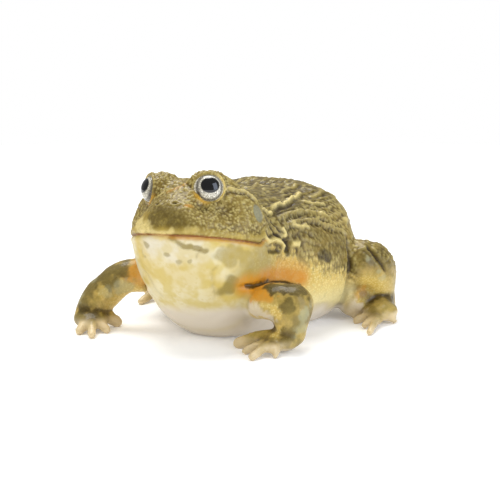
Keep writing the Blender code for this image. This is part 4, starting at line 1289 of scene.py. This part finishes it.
# How much of the relief's painted highlight and shade pale and yellow skin hide.
HIDDEN_BY = {"pale": 0.85, "yellow": 0.6}

# The eyeball's front is seen on a flat chart, in shares of its radius across and up.
PUPIL = ((0.02, 0.16), (0.61, 0.51))
IRIS = ((0.0, 0.02), (1.0, 1.0))
OVAL_POWER = 2.1  # 2 is an ellipse, and more is squarer
IRIS_FLECK = 0.673
IRIS_NET = 0.822
EYE_LAYERS = (
    # Silver flecks on grey, netted with dark lines.
    ("iris", "#ACA48E", "#FFFAE8", 1.0, [("flecks", 0.35, 0.65)]),
    ("iris", "iris", "#4E4838", 0.6, [("net", 0.02, 0.10, 1.0, 0.0)]),
    # A dark ring round the silver, and a dark notch on the snout's side.
    (
        "iris",
        "iris",
        "#3A3324",
        0.9,
        [("ring", 0.48, 0.58), ("ring", 0.72, 0.82, 1.0, 0.0), ("flecks", 0.36, 0.58, 0.35, 1.0)],
    ),
    (
        "iris",
        "iris",
        "#33291A",
        0.7,
        [
            ("ring", 0.25, 0.35),
            ("across", -0.72, -0.5, 1.0, 0.0),
            ("up", -0.3, 0.05, 1.0, 0.3),
            ("ring", 0.70, 0.80, 1.0, 0.0),
        ],
    ),
    # The pupil is black, with a soft dark edge.
    ("iris", "iris", "#2A2720", 0.5, [("pupil", 1.0, 1.15, 1.0, 0.0)]),
    ("eye", "#070708", "iris", 1.0, [("pupil", 0.93, 1.0)]),
)


def set_sockets(tree, node, sockets):
    """Links a node's sockets or gives them constant values, and turns a hex colour to linear."""
    for name, value in sockets.items():
        if isinstance(value, bpy.types.NodeSocket):
            tree.links.new(value, node.inputs[name])
        else:
            node.inputs[name].default_value = (*linear(value), 1) if isinstance(value, str) else value


def add(tree, kind, settings=None, sockets=None):
    """Adds one node with its own settings, and sets or links its sockets."""
    node = tree.nodes.new(kind)
    for name, value in (settings or {}).items():
        setattr(node, name, value)
    set_sockets(tree, node, sockets or {})
    return node


def new_material(name):
    """A material with its node tree and its shader."""
    material = bpy.data.materials.new(name)
    material.use_nodes = True
    tree = material.node_tree
    return material, tree, tree.nodes["Principled BSDF"]


def lay_colours(tree, layers, colours, values):
    """Turns one colour into another for each layer, by its strength times the values that it
    follows, each eased between the ends of its range by 3t^2 - 2t^3."""
    for made, below, above, strength, followed in layers:
        share = strength
        for name, *limits in followed:
            value = values[name]
            if limits:
                eased = {"interpolation_type": "SMOOTHSTEP"}
                value = add(tree, "ShaderNodeMapRange", eased, dict(enumerate((value, *limits)))).outputs[0]
            # The first value of a layer at full strength needs no product.
            if share == 1.0:
                share = value
            else:
                product = {"operation": "MULTIPLY", "use_clamp": True}
                share = add(tree, "ShaderNodeMath", product, {0: share, 1: value}).outputs[0]
        sockets = {0: share, 6: colours.get(below, below), 7: colours.get(above, above)}
        colours[made] = add(tree, "ShaderNodeMix", {"data_type": "RGBA"}, sockets).outputs[2]


def skin_material(settings):
    """Living frog skin, grown with granules and kept wet by slime. To the eye it is mottled and
    half matt, with fine bumps, and its thin film of water gives small, fairly sharp lights."""
    material, tree, shader = new_material("wet_frog_skin")
    place = add(tree, "ShaderNodeTexCoord").outputs["Object"]
    values = {}
    for name in Skin.SHARES:
        values[name] = add(tree, "ShaderNodeAttribute", {"attribute_name": name}).outputs["Fac"]
    for name, (size, detail, rough) in HIDE_NOISES.items():
        sockets = {"Vector": place, "Scale": 1 / (size * MM), "Detail": detail, "Roughness": rough}
        values[name] = add(tree, "ShaderNodeTexNoise", {}, sockets).outputs["Fac"]
    sockets = {"Vector": place, "Scale": 1 / (HIDE_GRAIN * MM)}
    values["grain"] = add(tree, "ShaderNodeTexVoronoi", {"feature": "F1"}, sockets).outputs["Distance"]
    hidden = [
        add(tree, "ShaderNodeMath", {"operation": "MULTIPLY"}, {0: values[name], 1: amount}).outputs[0]
        for name, amount in HIDDEN_BY.items()
    ]
    most = add(tree, "ShaderNodeMath", {"operation": "MAXIMUM"}, dict(enumerate(hidden))).outputs[0]
    values["bare"] = add(tree, "ShaderNodeMath", {"operation": "SUBTRACT"}, {0: 1.0, 1: most}).outputs[0]
    colours = {"dark olive": settings.back_dark, "olive": settings.back}
    lay_colours(tree, HIDE_LAYERS, colours, values)

    product = {"operation": "MULTIPLY", "use_clamp": True}
    grains = add(tree, "ShaderNodeMath", product, {0: values["grain"], 1: GRAIN_BUMP}).outputs[0]
    sockets = {0: values["grit"], 1: GRIT_BUMP, 2: grains}
    bumps = add(tree, "ShaderNodeMath", {"operation": "MULTIPLY_ADD"}, sockets).outputs[0]
    strength = add(tree, "ShaderNodeMath", product, {0: values["bare"], 1: BARE_BUMP}).outputs[0]
    sockets = {"Strength": strength, "Distance": HIDE_BUMP * MM, "Height": bumps}
    bump = add(tree, "ShaderNodeBump", {"invert": True}, sockets)
    sockets = dict(enumerate((values["mottle"], *HIDE_ROUGHNESS)))
    roughness = add(tree, "ShaderNodeMapRange", {"interpolation_type": "SMOOTHSTEP"}, sockets)
    finish = {
        "Base Color": colours["hide"],
        "Normal": bump.outputs["Normal"],
        "Roughness": roughness.outputs[0],
        "IOR": WET_IOR,
        "Specular IOR Level": 0.3,
        "Coat Weight": 0.3,
        "Coat Roughness": 0.12,
    }
    set_sockets(tree, shader, finish)
    return material


def oval(tree, across, up, middle, radii):
    """|(across - middle) / radius|^p + |(up - middle) / radius|^p, which is 1 on the oval's edge."""
    parts = []
    for value, centre, radius in zip((across, up), middle, radii):
        steps = (("SUBTRACT", centre), ("DIVIDE", radius), ("ABSOLUTE", 0.0), ("POWER", OVAL_POWER))
        for operation, number in steps:
            value = add(tree, "ShaderNodeMath", {"operation": operation}, {0: value, 1: number}).outputs[0]
        parts.append(value)
    return add(tree, "ShaderNodeMath", {"operation": "ADD"}, dict(enumerate(parts))).outputs[0]


def eye_material():
    """A living eye: a silver iris netted with dark lines and a wide black pupil, behind a smooth wet
    cornea. To the eye it is deep and dark, with one sharp reflection."""
    material, tree, shader = new_material("wet_eyeball")
    chart = add(tree, "ShaderNodeUVMap", {"uv_map": "gaze"}).outputs[0]
    split = add(tree, "ShaderNodeSeparateXYZ", {}, {0: chart})
    across, up = split.outputs[0], split.outputs[1]
    sockets = {"Vector": chart, "Scale": EYE_RADIUS / IRIS_FLECK, "Detail": 3.0, "Roughness": 0.6}
    flecks = add(tree, "ShaderNodeTexNoise", {}, sockets).outputs["Fac"]
    sockets = {"Vector": chart, "Scale": EYE_RADIUS / IRIS_NET}
    net = add(tree, "ShaderNodeTexVoronoi", {"feature": "DISTANCE_TO_EDGE"}, sockets).outputs["Distance"]
    values = {
        "across": across,
        "up": up,
        "flecks": flecks,
        "net": net,
        "pupil": oval(tree, across, up, *PUPIL),
        "ring": oval(tree, across, up, *IRIS),
    }
    colours = {}
    lay_colours(tree, EYE_LAYERS, colours, values)
    finish = {
        "Base Color": colours["eye"],
        "Roughness": 0.12,
        "IOR": WET_IOR,
        "Coat Weight": 1.0,
        "Coat Roughness": 0.02,
        "Coat IOR": WET_IOR,
    }
    set_sockets(tree, shader, finish)
    return material


def board_material():
    """A board painted matt white: to the eye it is even, has no shine and fades into the room,
    which a little light of its own gives it."""
    material, tree, shader = new_material("matt_white_board")
    finish = {
        "Base Color": "#FCFCFB",
        "Roughness": 0.9,
        "Emission Color": "#FFFFFF",
        "Emission Strength": BOARD_GLOW,
    }
    set_sockets(tree, shader, finish)
    return material


def eyeball_mesh(name, side, rings=48, columns=96):
    """A ball whose pole lies on the eye's axis, with a flat chart of it: how far across and up."""
    centre, axis, across, up = eye_frame(side)
    a = (np.arange(1, rings) * np.pi / rings)[:, None]
    b = (np.arange(columns) * 2 * np.pi / columns)[None, :]
    flat = np.stack([np.sin(a) * np.cos(b), np.sin(a) * np.sin(b), np.cos(a) + 0 * b], axis=-1)
    grid = centre + EYE_RADIUS * (flat @ np.stack([across, up, axis]))
    points, faces = closed_surface(grid, centre + EYE_RADIUS * axis, centre - EYE_RADIUS * axis)
    if np.linalg.det(points[faces] - centre).sum() < 0:
        faces = faces[:, ::-1]
    mesh = mesh_of(name, points, faces)
    chart = mesh.uv_layers.new(name="gaze")
    corners = np.empty(len(mesh.loops), np.int32)
    mesh.loops.foreach_get("vertex_index", corners)
    spokes = (points - centre) / EYE_RADIUS
    values = np.stack([spokes @ across * side, spokes @ up], axis=1)[corners]
    chart.data.foreach_set("uv", values.astype(np.float32).ravel())
    return mesh


# Stage.

CAMERA_TURN = math.radians(28.0)
CAMERA_RISE = math.radians(10.5)
CAMERA_AWAY = 750.0
CAMERA_AIM_ACROSS = 4.86
CAMERA_AIM_UP = 36.83
CAMERA_LENS = 100.0
CAMERA_SENSOR = 36.0

LIT_MIDDLE = (0.0, -10.0, 40.0)
# Boxes of light: how far they lie to the picture's right, up and towards the camera, times the
# distance, then their size, power in watts, colour, and whether wet skin and eyes mirror them.
SOFT_BOXES = {
    "window_box": ((0.765, 0.25, 0.585), 700.0, (400.0, 550.0), 2.4, "#DCE8FF", True),
    "front_box": ((-0.45, 0.5, 0.75), 900.0, (500.0, 400.0), 2.5, "#FFFFFF", False),
}
SUN_TOWARDS = (-0.25, 0.3, 1.0)
SUN_STRENGTH = 2.6
SUN_SOFTNESS = 45.0  # degrees of the sky that it fills
ROOM_LIGHT = 0.34
BOARD_GLOW = 0.13
BOARD_RADIUS = 900.0


def camera_axes():
    """Directions from the frog to the camera, to the picture's right and up."""
    turn, rise = CAMERA_TURN, CAMERA_RISE
    back = np.array([math.sin(turn) * math.cos(rise), -math.cos(turn) * math.cos(rise), math.sin(rise)])
    right = np.array([math.cos(turn), math.sin(turn), 0.0])
    return back, right, np.cross(back, right)


def aimed(obj, place, direction, front):
    """Puts a light or camera at a place in millimetres, its front axis in a direction."""
    obj.location = place * MM
    obj.rotation_mode = "QUATERNION"
    obj.rotation_quaternion = Vector(direction).to_track_quat(front, "Y")


def soft_box(name, offset, distance, size, power, colour, mirrored):
    """A box of light that looks at the middle of the frog."""
    back, right, up = camera_axes()
    data = bpy.data.lights.new(name, "AREA")
    data.shape = "RECTANGLE"
    data.size, data.size_y = np.array(size) * MM
    data.energy = power
    data.color = linear(colour)
    obj = new_object(name, data)
    away = distance * (offset[0] * right + offset[1] * up + offset[2] * back)
    aimed(obj, LIT_MIDDLE + away, -away, "-Z")
    obj.visible_glossy = mirrored


def sun_light():
    """A far light over the frog, as soft as a wide disc."""
    data = bpy.data.lights.new("overhead", "SUN")
    data.energy = SUN_STRENGTH
    data.angle = math.radians(SUN_SOFTNESS)
    towards = np.array(SUN_TOWARDS)
    aimed(new_object("overhead", data), LIT_MIDDLE + unit(towards) / MM, towards, "Z")


def white_room(strength):
    """A room that is white to look at, and lights the frog less than it shows."""
    world = bpy.data.worlds.new("white_room")
    world.use_nodes = True
    tree = world.node_tree
    tree.nodes.clear()
    seen, lit = (
        add(tree, "ShaderNodeBackground", {}, {"Color": "#FFFFFF", "Strength": amount}).outputs[0]
        for amount in (1.0, strength)
    )
    watched = add(tree, "ShaderNodeLightPath").outputs["Is Camera Ray"]
    either = add(tree, "ShaderNodeMixShader", {}, {0: watched, 1: lit, 2: seen})
    add(tree, "ShaderNodeOutputWorld", {}, {"Surface": either.outputs[0]})
    return world


def floor_mesh(radius=BOARD_RADIUS, corners=96):
    """A round board under the frog."""
    turns = np.arange(corners) * 2 * np.pi / corners
    points = np.stack([radius * np.cos(turns), radius * np.sin(turns), 0 * turns], axis=1)
    return mesh_of("floor", points, [list(range(corners))])


def photo_camera():
    """A camera with the angle and reach that were fitted to the outlines of the real frog."""
    back, right, up = camera_axes()
    data = bpy.data.cameras.new("camera")
    data.lens = CAMERA_LENS
    data.sensor_width = CAMERA_SENSOR
    camera = new_object("camera", data)
    target = CAMERA_AIM_ACROSS * right + CAMERA_AIM_UP * up
    aimed(camera, target + CAMERA_AWAY * back, -back, "-Z")
    return camera


# What a user would change.


class BullfrogSettings(bpy.types.PropertyGroup):
    """Sizes and colours of the bullfrog's skin."""

    grain: bpy.props.FloatProperty(
        name="Grain",
        description="Size of one face of the skin, in millimetres",
        default=1.32,
        min=0.8,
        max=4.0,
    )
    fold_height: bpy.props.FloatProperty(
        name="Fold height",
        description="How strongly the folds of the back stand out",
        default=1.0,
        subtype="FACTOR",
    )
    back: bpy.props.StringProperty(
        name="Back",
        description="Olive of the back, as a hex code",
        default="#7C6A2C",
    )
    back_dark: bpy.props.StringProperty(
        name="Dark back",
        description="Dark olive of the back, as a hex code",
        default="#5A4A1A",
    )


class MakeSkin(bpy.types.Operator):
    """Draws one skin over the solids of all the flesh, with its lids, lips, folds and warts"""

    bl_idname = "bullfrog.skin"
    bl_label = "Make the skin"

    def execute(self, context):
        settings = context.scene.bullfrog
        obj = new_object("bullfrog_skin", skin_mesh(settings.grain, settings.fold_height))
        obj.data.materials.clear()
        obj.data.materials.append(skin_material(settings))
        obj.data.shade_smooth()
        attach(obj, "root")
        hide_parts(*[node for node in sorted(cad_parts) if not node.startswith("eye_")])
        return {"FINISHED"}


class MakeEyes(bpy.types.Operator):
    """Makes both eyeballs with their irises and pupils"""

    bl_idname = "bullfrog.eyes"
    bl_label = "Make the eyes"

    def execute(self, context):
        for side, word in ((1, "left"), (-1, "right")):
            obj = new_object(f"eyeball_{word}", eyeball_mesh(f"eyeball_{word}", side))
            obj.data.materials.append(eye_material())
            obj.data.shade_smooth()
            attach(obj, "root")
            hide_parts(f"eye_{word}")
        return {"FINISHED"}


class MakeStage(bpy.types.Operator):
    """Sets the pale floor, the soft studio light and the camera"""

    bl_idname = "bullfrog.stage"
    bl_label = "Make the stage"

    def execute(self, context):
        scene = context.scene
        floor = new_object("floor", floor_mesh())
        floor.data.materials.append(board_material())
        scene.world = white_room(ROOM_LIGHT)
        sun_light()
        for name, box in SOFT_BOXES.items():
            soft_box(name, *box)
        scene.camera = photo_camera()
        scene.view_settings.view_transform = "Standard"
        return {"FINISHED"}


class BULLFROG_PT_pieces(bpy.types.Panel):
    """Shows the sizes and colours of the bullfrog, and buttons that make its skin, eyes and stage"""

    bl_label = "Bullfrog"
    bl_space_type = "VIEW_3D"
    bl_region_type = "UI"
    bl_category = "Bullfrog"

    def draw(self, context):
        settings = context.scene.bullfrog
        for name in ("grain", "fold_height", "back", "back_dark"):
            self.layout.prop(settings, name)
        for operator in (MakeSkin, MakeEyes, MakeStage):
            self.layout.operator(operator.bl_idname)


CLASSES = (BullfrogSettings, MakeSkin, MakeEyes, MakeStage, BULLFROG_PT_pieces)


def register():
    for made in CLASSES:
        bpy.utils.register_class(made)
    bpy.types.Scene.bullfrog = bpy.props.PointerProperty(type=BullfrogSettings)


def unregister():
    del bpy.types.Scene.bullfrog
    for made in reversed(CLASSES):
        bpy.utils.unregister_class(made)


def main():
    register()
    bpy.ops.bullfrog.skin()
    bpy.ops.bullfrog.eyes()
    bpy.ops.bullfrog.stage()


if __name__ == "__main__":
    main()
